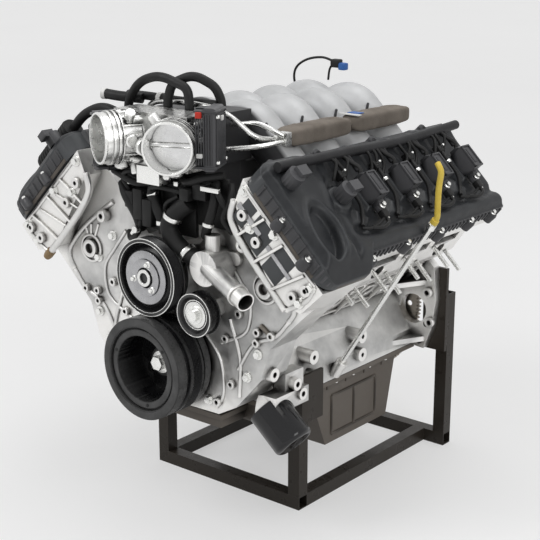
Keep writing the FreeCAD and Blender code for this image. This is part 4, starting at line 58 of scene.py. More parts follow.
class Paint:
    """A small helper round one material's node tree."""

    def __init__(self, name):
        self.material = bpy.data.materials.new(name)
        self.material.use_nodes = True
        self.tree = self.material.node_tree
        self.shader = self.tree.nodes["Principled BSDF"]
        coords = self.tree.nodes.new("ShaderNodeTexCoord")
        self.coords = coords.outputs["Object"]
        self.height = None

    def set(self, **values):
        for key, value in values.items():
            socket = self.shader.inputs[key.replace("_", " ")]
            socket.default_value = (*value, 1.0) if isinstance(value,
                    tuple) and len(value) == 3 else value
        return self

    def node(self, kind, **inputs):
        made = self.tree.nodes.new(kind)
        for key, value in inputs.items():
            made.inputs[key.replace("_", " ")].default_value = value
        return made

    def link(self, start, end):
        self.tree.links.new(start, end)

    def noise(self, scale, detail=4.0, rough=0.55, stretch=None):
        made = self.node("ShaderNodeTexNoise", Scale=scale, Detail=detail, Roughness=rough)
        self.link(self.place(stretch), made.inputs["Vector"])
        return made.outputs["Fac"]

    def cells(self, scale, feature="F1", stretch=None):
        made = self.node("ShaderNodeTexVoronoi", Scale=scale)
        made.feature = feature
        self.link(self.place(stretch), made.inputs["Vector"])
        return made.outputs["Distance"]

    def waves(self, scale, direction="Z", distortion=0.0):
        made = self.node("ShaderNodeTexWave", Scale=scale, Distortion=distortion)
        made.bands_direction = direction
        self.link(self.coords, made.inputs["Vector"])
        return made.outputs["Fac"]

    def place(self, stretch):
        if stretch is None:
            return self.coords
        made = self.node("ShaderNodeMapping")
        made.inputs["Scale"].default_value = stretch
        self.link(self.coords, made.inputs["Vector"])
        return made.outputs["Vector"]

    def ramp(self, source, low, high, start=0.35, end=0.65):
        made = self.tree.nodes.new("ShaderNodeValToRGB")
        made.color_ramp.elements[0].position = start
        made.color_ramp.elements[1].position = end
        made.color_ramp.elements[0].color = low if len(low) == 4 else (*low, 1.0)
        made.color_ramp.elements[1].color = high if len(high) == 4 else (*high, 1.0)
        self.link(source, made.inputs["Fac"])
        return made.outputs["Color"]

    def span(self, source, low, high, start=0.3, end=0.7):
        made = self.node("ShaderNodeMapRange", From_Min=start, From_Max=end, To_Min=low, To_Max=high)
        self.link(source, made.inputs["Value"])
        return made.outputs["Result"]

    def mix(self, factor, first, second):
        made = self.tree.nodes.new("ShaderNodeMix")
        made.data_type = "RGBA"
        if isinstance(factor, (int, float)):
            made.inputs[0].default_value = factor
        else:
            self.link(factor, made.inputs[0])
        for slot, value in ((6, first), (7, second)):
            if isinstance(value, tuple):
                made.inputs[slot].default_value = (*value, 1.0)
            else:
                self.link(value, made.inputs[slot])
        return made.outputs[2]

    def edges(self, low=0.5, high=0.56):
        """One where the surface is sharply convex and nought on flat faces, for a lighter tint along edges.
        """
        made = self.tree.nodes.new("ShaderNodeNewGeometry")
        return self.span(made.outputs["Pointiness"], 0.0, 1.0, low, high)

    def crevices(self, reach, low=0.25, high=0.85):
        """Zero deep in corners and one on open surfaces: the mask for painted shade in crevices."""
        made = self.node("ShaderNodeAmbientOcclusion", Distance=reach)
        made.samples = 6
        return self.span(made.outputs["AO"], 0.0, 1.0, low, high)

    def axis(self, name):
        made = self.tree.nodes.new("ShaderNodeSeparateXYZ")
        self.link(self.coords, made.inputs["Vector"])
        return made.outputs[name]

    def bump(self, source, strength, distance):
        made = self.node("ShaderNodeBump", Strength=strength, Distance=distance)
        self.link(source, made.inputs["Height"])
        if self.height is not None:
            self.link(self.height, made.inputs["Normal"])
        self.height = made.outputs["Normal"]
        self.link(self.height, self.shader.inputs["Normal"])
        return self

    def soften(self, radius):
        """Rounded-looking edges on crisp solids."""
        made = self.node("ShaderNodeBevel", Radius=radius)
        made.samples = 4
        self.height = made.outputs["Normal"]
        self.link(self.height, self.shader.inputs["Normal"])
        return self

    def into(self, name, source):
        self.link(source, self.shader.inputs[name])
        return self


def metal(name, dark, light, rough, grain=0.25, grain_scale=900.0, radius=0.0008, stains=14.0, edge_tint=None,
        metallic=1.0,
          crevice_shade=None):
    made = Paint(name).set(Metallic=metallic)
    if radius:
        made.soften(radius)
    cloud = made.noise(stains, 6.0, 0.6)
    colour = made.ramp(cloud, dark, light, 0.3, 0.72)
    if edge_tint is not None:
        colour = made.mix(made.edges(), colour, edge_tint)
    # Painted shade: ambient occlusion darkens corners and crevices toward the colour given last.
    if crevice_shade is not None:
        colour = made.mix(made.crevices(0.03), crevice_shade, colour)
    made.into("Base Color", colour)
    made.into("Roughness", made.span(made.noise(stains * 5.0, 3.0), rough - 0.07, rough + 0.1))
    made.bump(made.noise(grain_scale, 3.0, 0.7), grain, 0.00025)
    return made


def plastic(name, dark, light, rough, grain=0.3, grain_scale=1400.0, radius=0.0006, clouds=22.0,
        edge_tint=None,
            shine=0.28):
    made = Paint(name).set(Metallic=0.0, Specular_IOR_Level=shine)
    if radius:
        made.soften(radius)
    colour = made.ramp(made.noise(clouds, 5.0, 0.6), dark, light, 0.3, 0.7)
    if edge_tint is not None:
        colour = made.mix(made.edges(0.51, 0.6), colour, edge_tint)
    made.into("Base Color", colour)
    made.into("Roughness", made.span(made.noise(clouds * 4.0, 3.0), rough - 0.06, rough + 0.1))
    made.bump(made.cells(grain_scale), grain, 0.0002)
    return made


# The cast and bright castings carry painted shade: their last colour is painted into corners and crevices.
cast = metal("cast_aluminium", (0.46, 0.46, 0.455), (0.78, 0.775, 0.76), 0.40, 0.55, 520.0, 0.0012, 16.0,
             (0.90, 0.89, 0.87), 1.0, (0.06, 0.055, 0.05))
bright = metal("bright_casting", (0.62, 0.62, 0.61), (0.86, 0.86, 0.84), 0.28, 0.35, 620.0, 0.0010, 20.0,
               (0.93, 0.93, 0.91), 1.0, (0.05, 0.05, 0.05))
machined = metal("machined_aluminium", (0.68, 0.68, 0.68), (0.82, 0.82, 0.82), 0.22, 0.12, 1500.0, 0.0005,
        30.0)
machined.bump(machined.waves(900.0, "X", 0.4), 0.08, 0.0001)
steel = metal("ground_steel", (0.33, 0.33, 0.34), (0.50, 0.50, 0.51), 0.25, 0.15, 1200.0, 0.0005, 26.0)
zinc = metal("zinc_plate", (0.58, 0.58, 0.57), (0.78, 0.78, 0.76), 0.24, 0.12, 1600.0, 0.0005, 40.0,
        (0.86, 0.86, 0.84))
dark_steel = metal("oiled_steel", (0.045, 0.042, 0.040), (0.13, 0.115, 0.10), 0.42, 0.35, 700.0, 0.0007,
        24.0, (0.34, 0.31, 0.27))
iron = plastic("black_enamel_iron", (0.004, 0.004, 0.0045), (0.012, 0.012, 0.013), 0.26, 0.30, 800.0,
        0.0007, 20.0, (0.06, 0.06, 0.06))
shell_metal = metal("bearing_shell", (0.45, 0.40, 0.32), (0.60, 0.55, 0.45), 0.3, 0.1, 1500.0, 0.0, 30.0)
black_rubber = plastic("black_rubber", (0.006, 0.006, 0.006), (0.018, 0.018, 0.018), 0.50, 0.35, 900.0,
        0.0005)
seal_rubber = plastic("seal_rubber", (0.014, 0.014, 0.015), (0.03, 0.03, 0.032), 0.7, 0.3, 1200.0, 0.0)
charcoal = plastic("charcoal_composite", (0.013, 0.014, 0.016), (0.032, 0.034, 0.037), 0.40, 0.45, 1100.0,
        0.0010, 26.0, (0.10, 0.105, 0.11))
pan_brown = plastic("brown_composite", (0.010, 0.008, 0.006), (0.030, 0.024, 0.019), 0.38, 0.45, 1000.0,
        0.0012, 18.0, (0.16, 0.14, 0.12))
runner_grey = plastic("runner_composite", (0.46, 0.465, 0.47), (0.62, 0.625, 0.63), 0.45, 0.12, 1500.0,
        0.0020, 12.0)
runner_grey.set(Metallic=0.15, Coat_Weight=0.08, Coat_Roughness=0.3)
runner_colour = runner_grey.shader.inputs["Base Color"].links[0].from_socket
# Painted shade: the manifold is painted near-black forward of the neck (y below -0.395 m) and below z 0.342
# m, where it lies in shade.
clear_of_neck_shade = runner_grey.span(runner_grey.axis("Y"), 0.0, 1.0, -0.398, -0.392)
clear_of_plenum_shade = runner_grey.span(runner_grey.axis("Z"), 0.0, 1.0, 0.338, 0.346)
runner_colour = runner_grey.mix(clear_of_neck_shade, (0.035, 0.035, 0.037), runner_colour)
runner_grey.into("Base Color", runner_grey.mix(clear_of_plenum_shade, (0.05, 0.05, 0.052), runner_colour))
canister = plastic("gloss_black_canister", (0.003, 0.003, 0.004), (0.007, 0.007, 0.009), 0.12, 0.10,
        500.0, 0.0010)
canister.set(Coat_Weight=0.35, Coat_Roughness=0.04)
black_plastic = plastic("black_moulding", (0.007, 0.007, 0.008), (0.020, 0.021, 0.022), 0.34, 0.35,
        1300.0, 0.0008, 26.0, (0.09, 0.09, 0.095))
foam = plastic("pressed_foam", (0.14, 0.12, 0.10), (0.24, 0.21, 0.18), 0.85, 0.8, 700.0, 0.0)
foam.bump(foam.noise(240.0, 5.0, 0.8), 0.5, 0.0008)
yellow = plastic("yellow_moulding", (0.66, 0.47, 0.06), (0.84, 0.64, 0.12), 0.34, 0.2, 1200.0, 0.0006,
        40.0)
stand_paint = plastic("stand_paint", (0.0025, 0.002, 0.0018), (0.007, 0.006, 0.005), 0.30, 0.55, 700.0,
        0.0008, 10.0, (0.04, 0.034, 0.028), 0.18)
loom = plastic("taped_loom", (0.007, 0.007, 0.008), (0.022, 0.022, 0.024), 0.5, 0.6, 500.0, 0.0)
tan = plastic("nylon_guide", (0.30, 0.20, 0.10), (0.40, 0.28, 0.15), 0.4, 0.2, 1200.0, 0.0)
damper_grey = metal("machined_iron_face", (0.06, 0.06, 0.06), (0.10, 0.10, 0.10), 0.40, 0.2, 1300.0,
        0.0005, 30.0)
red_plastic = plastic("red_latch", (0.50, 0.03, 0.02), (0.66, 0.06, 0.04), 0.4, 0.2, 1200.0, 0.0005)
white_plastic = plastic("white_clip", (0.72, 0.72, 0.70), (0.84, 0.84, 0.82), 0.4, 0.2, 1200.0, 0.0005)
blue_plastic = plastic("blue_tag", (0.03, 0.10, 0.34), (0.05, 0.16, 0.46), 0.4, 0.2, 1200.0, 0.0005)

NODE_PAINT = {
    cast: ("cylinder_block", "cylinder_head_left", "cylinder_head_right", "front_cover",
        "oil_filter_adapter", "oil_pump", "thermostat_housing"),
    bright: ("throttle_body",),
    machined: ("throttle_plate_left", "throttle_plate_right", "pistons", "cam_bearing_caps"),
    steel: ("crankshaft", "connecting_rods", "camshaft_intake_left", "camshaft_intake_right",
        "camshaft_exhaust_left", "camshaft_exhaust_right", "valves", "cam_followers",
        "crank_sprocket"),
    zinc: ("crank_bolts", "front_cover_bolts", "exhaust_studs", "spark_plugs", "fuel_rails",
        "coolant_pipes", "oil_pickup_tube", "drain_plug", "dipstick_tube", "valve_springs",
        "water_pump_rotor"),
    dark_steel: ("flexplate", "main_bearing_caps", "piston_rings", "timing_chains"),
    iron: ("damper_hub", "damper_inertia_ring", "water_pump_pulley", "idler_pulley"),
    shell_metal: ("main_bearing_shells",),
    black_rubber: ("damper_rubber", "breather_hoses"),
    seal_rubber: ("gaskets",),
    charcoal: ("cam_cover_left", "cam_cover_right"),
    pan_brown: ("oil_pan",),
    runner_grey: ("intake_manifold",),
    canister: ("oil_filter",),
    black_plastic: ("ignition_coils", "cam_timing_solenoids", "oil_fill_cap",
        "throttle_gear_covers", "fuel_injectors"),
    foam: ("fuel_rail_covers",),
    yellow: ("dipstick",),
    stand_paint: ("stand_frame", "stand_plates"),
    loom: ("wiring_harness",),
    tan: ("chain_guides",),
}


def finish_mesh(mesh, angle=35.0):
    for face in mesh.polygons:
        face.use_smooth = True
    mesh.set_sharp_from_angle(angle=math.radians(angle))


for paint, members in NODE_PAINT.items():
    for member in members:
        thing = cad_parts[member]
        thing.data.materials.clear()
        thing.data.materials.append(paint.material)
        finish_mesh(thing.data)


# Shapes gathered as closed solids


def smooth(value, low, high):
    share = min(max((value - low) / (high - low), 0.0), 1.0)
    return share * share * (3.0 - 2.0 * share)


def hump(value, centre, width):
    return math.exp(-((value - centre) / width) ** 2)


def bank_place(side):
    """Turns (v, y, u) of one bank into the frame."""
    return Matrix(((side * HALF, 0.0, side * HALF, 0.0), (0.0, 1.0, 0.0, 0.0),
                   (-HALF, 0.0, HALF, 0.0), (0.0, 0.0, 0.0, 1.0)))


def turned(heading):
    """A frame whose third axis runs along the heading."""
    return Vector(heading).normalized().to_track_quat("Z", "Y").to_matrix()


def compass(degrees):
    return math.cos(math.radians(degrees)), math.sin(math.radians(degrees))


def ring_points(profile, at, heading, segments):
    """One ring of points for each (radius, height) of a profile along the heading."""
    turn, centre = turned(heading), Vector(at)
    points = []
    for radius, height in profile:
        for k in range(segments):
            angle = 2.0 * math.pi * k / segments
            spoke = Vector((radius * math.cos(angle), radius * math.sin(angle), height))
            points.append(centre + turn @ spoke)
    return points


def ring_faces(rings, sides, closed=False):
    """Faces between neighbouring rings, with two end caps unless the last ring meets the first."""
    faces = []
    for ring in range(rings if closed else rings - 1):
        near, far = ring * sides, (ring + 1) % rings * sides
        for k in range(sides):
            after = (k + 1) % sides
            faces.append((near + k, near + after, far + after, far + k))
    if not closed:
        last = (rings - 1) * sides
        faces += [tuple(range(sides)), tuple(range(last, last + sides))]
    return faces


SHARP_CORNER = 0.6
BLOCK_FACES = ((0, 1, 3, 2), (4, 6, 7, 5), (0, 4, 5, 1), (2, 3, 7, 6), (0, 2, 6, 4), (1, 5, 7, 3))


class Kit:
    """Closed solids in one mesh, in millimetres of a chosen frame."""

    def __init__(self, name, place=None):
        self.name = name
        self.mesh = bmesh.new()
        self.matrix = place or Matrix.Identity(4)

    def solid(self, points, faces, bevel=0.0):
        verts = [self.mesh.verts.new(self.matrix @ Vector(point)) for point in points]
        made = [self.mesh.faces.new([verts[i] for i in face]) for face in faces]
        bmesh.ops.recalc_face_normals(self.mesh, faces=made)
        if bevel > 0.0:
            edges = {edge for face in made for edge in face.edges}
            sharp = [edge for edge in edges
                     if len(edge.link_faces) == 2 and edge.calc_face_angle(0.0) > SHARP_CORNER]
            bmesh.ops.bevel(self.mesh, geom=sharp, offset=bevel, segments=2, profile=0.5,
                            affect="EDGES", clamp_overlap=True)

    def block(self, low, high, bevel=1.0):
        corners = [(x, y, z) for x in (low[0], high[0]) for y in (low[1], high[1])
                   for z in (low[2], high[2])]
        self.solid(corners, BLOCK_FACES, bevel)

    def prism(self, outline, low, high, bevel=1.0):
        """An outline of (x, z) pushed along y."""
        count = len(outline)
        points = [(x, y, z) for y in (low, high) for x, z in outline]
        faces = [tuple(range(count)), tuple(range(count, 2 * count))]
        faces += [(i, (i + 1) % count, count + (i + 1) % count, count + i) for i in range(count)]
        self.solid(points, faces, bevel)

    def lathe(self, profile, at, heading=UP, segments=28, bevel=0.0):
        """A closed solid of revolution; the profile is (radius, height) from one end to the other."""
        self.solid(ring_points(profile, at, heading, segments), ring_faces(len(profile), segments), bevel)

    def ring(self, inner, outer, low, high, at, heading, segments=48, bevel=0.6):
        """A closed ring with a rectangular section."""
        section = ((inner, low), (outer, low), (outer, high), (inner, high))
        self.solid(ring_points(section, at, heading, segments), ring_faces(4, segments, True), bevel)

    def bolt(self, at, heading, radius=5.0, height=5.0):
        washer = ((radius * 1.35, 0.0), (radius * 1.35, 1.0), (radius * 1.15, 1.8))
        self.lathe(washer, at, heading, 20)
        lift = Vector(at) + Vector(heading).normalized() * 1.5
        self.lathe(((radius, 0.0), (radius, height * 0.85), (radius * 0.85, height)), lift, heading, 6)
        self.lathe(((radius * 0.55, 0.0), (radius * 0.5, height + 0.6)), lift, heading, 12)

    def tube(self, path, radius, sides=18, steps=8):
        """A round bar along a smooth path."""
        path = [Vector(point) for point in path]
        samples = []
        for i in range(len(path) - 1):
            before = path[i - 1] if i > 0 else path[i] * 2.0 - path[i + 1]
            after = path[i + 2] if i + 2 < len(path) else path[i + 1] * 2.0 - path[i]
            for k in range(steps):
                t = k / steps
                samples.append(0.5 * (2.0 * path[i] + (path[i + 1] - before) * t
                                      + (2.0 * before - 5.0 * path[i] + 4.0 * path[i + 1] - after) * t * t
                                      + (3.0 * path[i] - before - 3.0 * path[i + 1] + after) * t ** 3))
        samples.append(path[-1])
        normal = None
        points = []
        for i, centre in enumerate(samples):
            heading = (samples[min(i + 1, len(samples) - 1)] - samples[max(i - 1, 0)]).normalized()
            if normal is None:
                normal = heading.orthogonal().normalized()
            normal = (normal - heading * normal.dot(heading)).normalized()
            other = heading.cross(normal)
            for k in range(sides):
                angle = 2.0 * math.pi * k / sides
                points.append(centre + (normal * math.cos(angle) + other * math.sin(angle)) * radius)
        self.solid(points, ring_faces(len(samples), sides))

    def sheet(self, rows, floor):
        """A closed body under a grid of (x, y, z) points, down to a flat floor at z."""
        tall, wide = len(rows), len(rows[0])
        points = [point for row in rows for point in row]
        faces = [(r * wide + c, r * wide + c + 1, (r + 1) * wide + c + 1, (r + 1) * wide + c)
                 for r in range(tall - 1) for c in range(wide - 1)]
        rim = [c for c in range(wide)] + [r * wide + wide - 1 for r in range(1, tall)]
        rim += [(tall - 1) * wide + c for c in range(wide - 2, -1,
                -1)] + [r * wide for r in range(tall - 2, 0, -1)]
        start = len(points)
        points += [(points[i][0], points[i][1], floor) for i in rim]
        count = len(rim)
        faces += [(rim[i], rim[(i + 1) % count], start + (i + 1) % count, start + i)
                  for i in range(count)]
        faces.append(tuple(range(start, start + count)))
        self.solid(points, faces)

    def make(self, paint, body="engine", angle=35.0):
        for vert in self.mesh.verts:
            vert.co *= 0.001
        mesh = bpy.data.meshes.new(self.name)
        self.mesh.to_mesh(mesh)
        self.mesh.free()
        thing = bpy.data.objects.new(self.name, mesh)
        bpy.context.scene.collection.objects.link(thing)
        mesh.materials.append(paint.material)
        finish_mesh(mesh, angle)
        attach(thing, body)
        return thing


def bank_kit(name, side):
    return Kit(name + "_" + SIDE_WORD[side], bank_place(side))


# Cam covers as moulded skins, in the bank frame

COIL_ROWS = {LEFT: (70, 170, 270, 370), RIGHT: (90, 190, 290, 390)}
SOLENOID_SPOTS = {LEFT: ((-62, 531), (-14, 439)), RIGHT: ((-62, 543), (-14, 439))}
COVER_REAR = {LEFT: 5, RIGHT: 25}
COVER_FRONT = 565
COVER_BASE = 386.6
COIL_SEAT = 429.2
COVER_CHAMFER = 515


def cover_edges(forward):
    past = max(forward - (COVER_FRONT - 34), 0) / 34
    cut = 34 * (1 - math.sqrt(max(1 - past * past, 0)))
    return -113 + cut * 0.9, 84 + 30 * smooth(forward, 426, 452) - cut


def cover_top(v, forward, side):
    inner, outer = cover_edges(forward)
    front = smooth(forward, 424, 470)
    edge = min(v - inner, outer - v, (COVER_FRONT - forward) * 1.1, forward - COVER_REAR[side])
    top = 423 + 9 * front
    top += 4.5 * hump(v, 68, 13) * (1 - front)
    top -= 6 * hump(v, 48, 8) * (1 - front)
    top += 3 * hump(v, -92, 16) * (1 - front)
    for row in COIL_ROWS[side]:
        kite = max(0, 1 - abs(forward - row - 50) / 26 - abs(v - 32) / 30)
        top += 9 * min(kite * 1.6, 0.75) * (1 - front)
        ridge = max(0, 1 - abs(forward - row - 50) / 16) * smooth(-v, 30, 44)
        top += 3.5 * ridge * (1 - front)
    bend = forward - 466 - 0.28 * (v - 20) + 0.0022 * (v - 20) ** 2
    top -= 9 * hump(bend, 0, 7.5) * smooth(v, -70, -40) * smooth(outer - v, 6, 26)
    top += 3 * hump(bend, 17, 9) * smooth(v, -70, -40)
    along = (v - 36) * 0.979 + (forward - 521) * 0.204
    across = (forward - 521) * 0.979 - (v - 36) * 0.204
    oval = math.sqrt((along / 50) ** 2 + (across / 25) ** 2)
    top += 3.5 * hump(oval, 1.22, 0.16)
    top -= (15 + 0.10 * along) * smooth(1.04 - oval, 0, 0.22)
    for row in COIL_ROWS[side]:
        away = max(abs(v + 10) - 22, abs(forward - row) - 12)
        share = 1 - smooth(away, 2, 9)
        top = top * (1 - share) + COIL_SEAT * share
    spots = [(spot, 20, 433) for spot in SOLENOID_SPOTS[side]]
    if side == RIGHT:
        spots.append(((20, 340), 24, COIL_SEAT))
    for at, reach, level in spots:
        share = 1 - smooth(math.hypot(v - at[0], forward - at[1]), reach, reach + 9)
        top = top * (1 - share) + level * share
    top -= 11 * (1 - smooth(edge, 0, 15)) ** 1.6
    limit = COVER_CHAMFER - 1.5 - v
    blend = max(8 - abs(limit - top), 0) / 8
    return min(top, limit) - blend * blend * 2


def cover_skin(side):
    kit = bank_kit("cam_cover_skin", side)
    tall, wide = ((300, 130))
    rear = COVER_REAR[side]
    rows = []
    for r in range(tall + 1):
        forward = rear + (COVER_FRONT - rear) * (1 - (1 - r / tall) ** 1.15)
        inner, outer = cover_edges(forward)
        row = []
        for c in range(wide + 1):
            v = inner + (outer - inner) * c / wide
            row.append((v, -forward, cover_top(v, forward, side)))
        rows.append(row)
    kit.sheet(rows, COVER_BASE)
    skin = kit.make(charcoal, angle=50)
    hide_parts("cam_cover_" + SIDE_WORD[side])

    trim = bank_kit("cover_skirt", side)
    trim.block((84, -424, 393), (86, -rear - 2, 413), 0.6)
    tooth = rear + 8
    while tooth < 420:
        trim.prism(((84.5, 394), (90.5, 394), (89, 411), (84.5, 413)), -tooth - 5, -tooth, 0.8)
        tooth += 12.5
    trim.block((-78, -566.6, 394), (82, -563, 416), 0.6)
    for k in range(9):
        v = -74 + k * 19
        trim.block((v, -568.8, 395), (v + 3, -563, 417), 0.6)
    for k in range(5):
        angle = math.radians(18 + 17 * k)
        v, forward = 80 + 34 * math.sin(angle), 531 + 34 * math.cos(angle)
        tall = min(22, COVER_CHAMFER - 5 - v - 394)
        trim.lathe(((2.6, 0), (2.6, tall), (1.6, tall + 1.5)), (v - 2, -forward, 394), UP, 10)
    lugs = ((99, 540), (94, 430), (88, 322), (88, 218), (88, 118), (88, 40), (-15, 566), (60, 569))
    for v, forward in lugs:
        tall = min(20, COVER_CHAMFER - 14 - v - 387)
        trim.lathe(((10.5, 0), (10.5, tall - 3), (9, tall), (7, tall + 0.4)), (v, -forward, 387), UP, 24)
    for v in (-100, -104):
        for forward in (80, 240, 400, 520):
            trim.lathe(((8, 0), (8, 26), (6.5, 28)), (v - 6, -forward, 392), UP, 20)
    trim.make(black_plastic)

    bolts = bank_kit("cover_bolts", side)
    for v, forward in lugs:
        tall = min(20, COVER_CHAMFER - 14 - v - 387)
        bolts.bolt((v, -forward, COVER_BASE + tall), UP, 4.2, 5)
    bolts.make(zinc)

    band = bank_kit("cover_gasket_band", side)
    band.block((-80, -566, COVER_BASE), (84, -560, 393.5), 0.6)
    band.block((84, -530, COVER_BASE), (114.4, -452, 393.5), 0.6)
    band.make(pan_brown)


for side in (LEFT, RIGHT):
    cover_skin(side)


# Ignition coils: lid rims, fixing bolts, plugs

for side in (LEFT, RIGHT):
    lids = bank_kit("coil_lids", side)
    metal_bits = bank_kit("coil_bolts", side)
    plugs = bank_kit("coil_plugs", side)
    for row in COIL_ROWS[side]:
        rims = (((-33.5, -row - 12.5), (13.5, -row - 9.5)), ((-33.5, -row + 9.5), (13.5, -row + 12.5)),
                ((-33.5, -row - 12.5), (-30.5, -row + 12.5)), ((10.5, -row - 12.5), (13.5, -row + 12.5)))
        for low, high in rims:
            lids.block((*low, 457.5), (*high, 462), 0.8)
        lids.block((-26, -row - 4, 459), (4, -row + 4, 460.4), 0.5)
        lids.block((12, -row - 8, 433), (21, -row + 8, 446), 1.5)
        lids.prism(((-33, 429), (-41, 431), (-41, 446), (-33, 456)), -row - 8, -row + 8, 1.5)
        metal_bits.bolt((24, -row, 441.5), UP, 4.6, 5.5)
        metal_bits.lathe(((3.2, 0), (3.2, 22)), (24, -row, 425), UP, 14)
        plugs.block((30, -row - 7, 428), (44, -row + 7, 440), 1.6)
        plugs.tube(((42, -row, 434), (54, -row - 6, 437), (58, -row - 24, 434), (52, -row - 44, 431)),
                3.4, 12, 6)
        plugs.tube(((-36, -row, 440), (-50, -row + 2, 446), (-66, -row - 6, 444), (-84, -row - 14, 442)),
                4, 12, 6)
        metal_bits.block((44, -row - 4, 430.5), (47.5, -row + 4, 437.5), 0.8)
    lids.make(black_plastic)
    metal_bits.make(zinc)
    plugs.make(black_rubber)


# Front cover: arm frames, fins, bosses and ridges

ARM_FACE, PLATE_FACE = -559, -520


def slanted_rib(kit, start, end, half, proud):
    """A straight rib on the arm's face from one (v, u) to another."""
    outline = [(start[0] - half, start[1]), (start[0] + half, start[1])]
    outline += [(end[0] + half, end[1]), (end[0] - half, end[1])]
    kit.prism(outline, ARM_FACE - proud, ARM_FACE + 2, 1.2)


def front_ribs(side):
    word = SIDE_WORD[side]
    place = bank_place(side)
    ribs = Kit("front_cover_ribs_" + word, place)
    face = ARM_FACE
    ribs.tube(((-100, face, 345), (-82, face, 318), (-40, face, 308), (30, face, 304), (90, face, 303)),
            6.5)
    ribs.tube(((-96, face, 378), (-20, face, 379), (96, face, 380)), 3.6)
    ribs.tube(((96, face, 380), (103, face, 350), (92, face, 306)), 4.5)
    for a, b in (((50, 306), (72, 377)), ((-3, 306), (13, 377)), ((-54, 312), (-39, 377))):
        slanted_rib(ribs, a, b, 2.5, 6)
    if side == RIGHT:
        for a, b in (((13, 310), (48, 374)), ((-38, 312), (-5, 374))):
            slanted_rib(ribs, a, b, 2, 4.5)
    for v, u in ((-22, 337), (92, 364), (84, 334), (-70, 345)):
        ribs.ring(3.6, 9.5, -10, 0, (v, face + 1, u), REARWARD, 28, 1)
    plate = PLATE_FACE
    ribs.ring(9, 17, -9, 1, (30, plate, 262), REARWARD, 36, 1.6)
    ribs.ring(22, 27, -4, 1, (30, plate, 262), REARWARD, 36, 1.4)
    for v, u in ((14, 298), (-2, 294), (-18, 282)):
        reach = Vector((v - 30, 0, u - 262)).normalized() * 26
        ribs.tube(((30 + reach.x, plate, 262 + reach.z), (v, plate, u)), 3, 12, 3)
    ribs.ring(4.5, 11, -16, 1, (-47, plate, 281), REARWARD, 28, 1.2)
    ribs.tube(((-67, plate, 231), (-20, plate, 226), (23, plate, 219), (52, plate, 190), (58, plate, 162),
            (41, plate, 111)), 3.6)
    ribs.tube(((98, plate, 262), (92, plate, 285), (70, plate, 299), (6, plate, 300), (-80, plate, 287)),
            5)
    ribs.tube(((98, plate, 262), (100, plate, 220), (84, plate, 170), (96, plate, 110)), 4)
    for v, u in ((96, 217), (74, 196), (86, 181)):
        ribs.ring(3.2, 7.5, -9, 1, (v, plate, u), REARWARD, 24, 1)
    ribs.make(cast)
    tips = Kit("front_cover_tips_" + word, place)
    if side == RIGHT:
        tips.lathe(((8.4, 0), (8.4, 14), (6.8, 20), (4, 22)), (84, face, 303.3), OUTWARD, 24)
        tips.make(tan)


for side in (LEFT, RIGHT):
    front_ribs(side)


low_front = Kit("front_cover_lower_ribs")
for side in (LEFT, RIGHT):
    low_front.tube(((side * 60, PLATE_FACE, 70), (side * 104, PLATE_FACE, 20),
            (side * 112, PLATE_FACE, -40), (side * 96, PLATE_FACE, -72)), 3.4)
    low_front.tube(((side * 128, PLATE_FACE, 96), (side * 150, PLATE_FACE, 30),
            (side * 148, PLATE_FACE, -40)), 4.2)
    for x, z in ((120, 60), (132, -20), (100, -60), (150, 110)):
        low_front.ring(3.4, 8, -8, 1, (side * x, PLATE_FACE, z), REARWARD, 24, 1)
low_front.make(cast)

slot_lip = Kit("front_cover_slot")
slot_lip.tube(((196, -520.5, 98), (206, -520.5, 92), (222, -520.5, 80)), 4.6)
slot_lip.make(dark_steel)


# Throttle bodies and their drive covers

def throttle_place(side):
    return Matrix(((0.9063 * side, -0.4226 * side, 0, 80 * side), (0.4226, 0.9063, 0, -615),
                   (0, 0, 1, 393), (0, 0, 0, 1)))


def node_bounds(node, place, keep):
    """Bounds of part of a node in another frame, in millimetres."""
    back = place.inverted()
    points = [vert.co * 1000 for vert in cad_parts[node].data.vertices]
    local = [back @ point for point in points if keep(point)]
    return [min(p[i] for p in local) for i in range(3)], [max(p[i] for p in local) for i in range(3)]


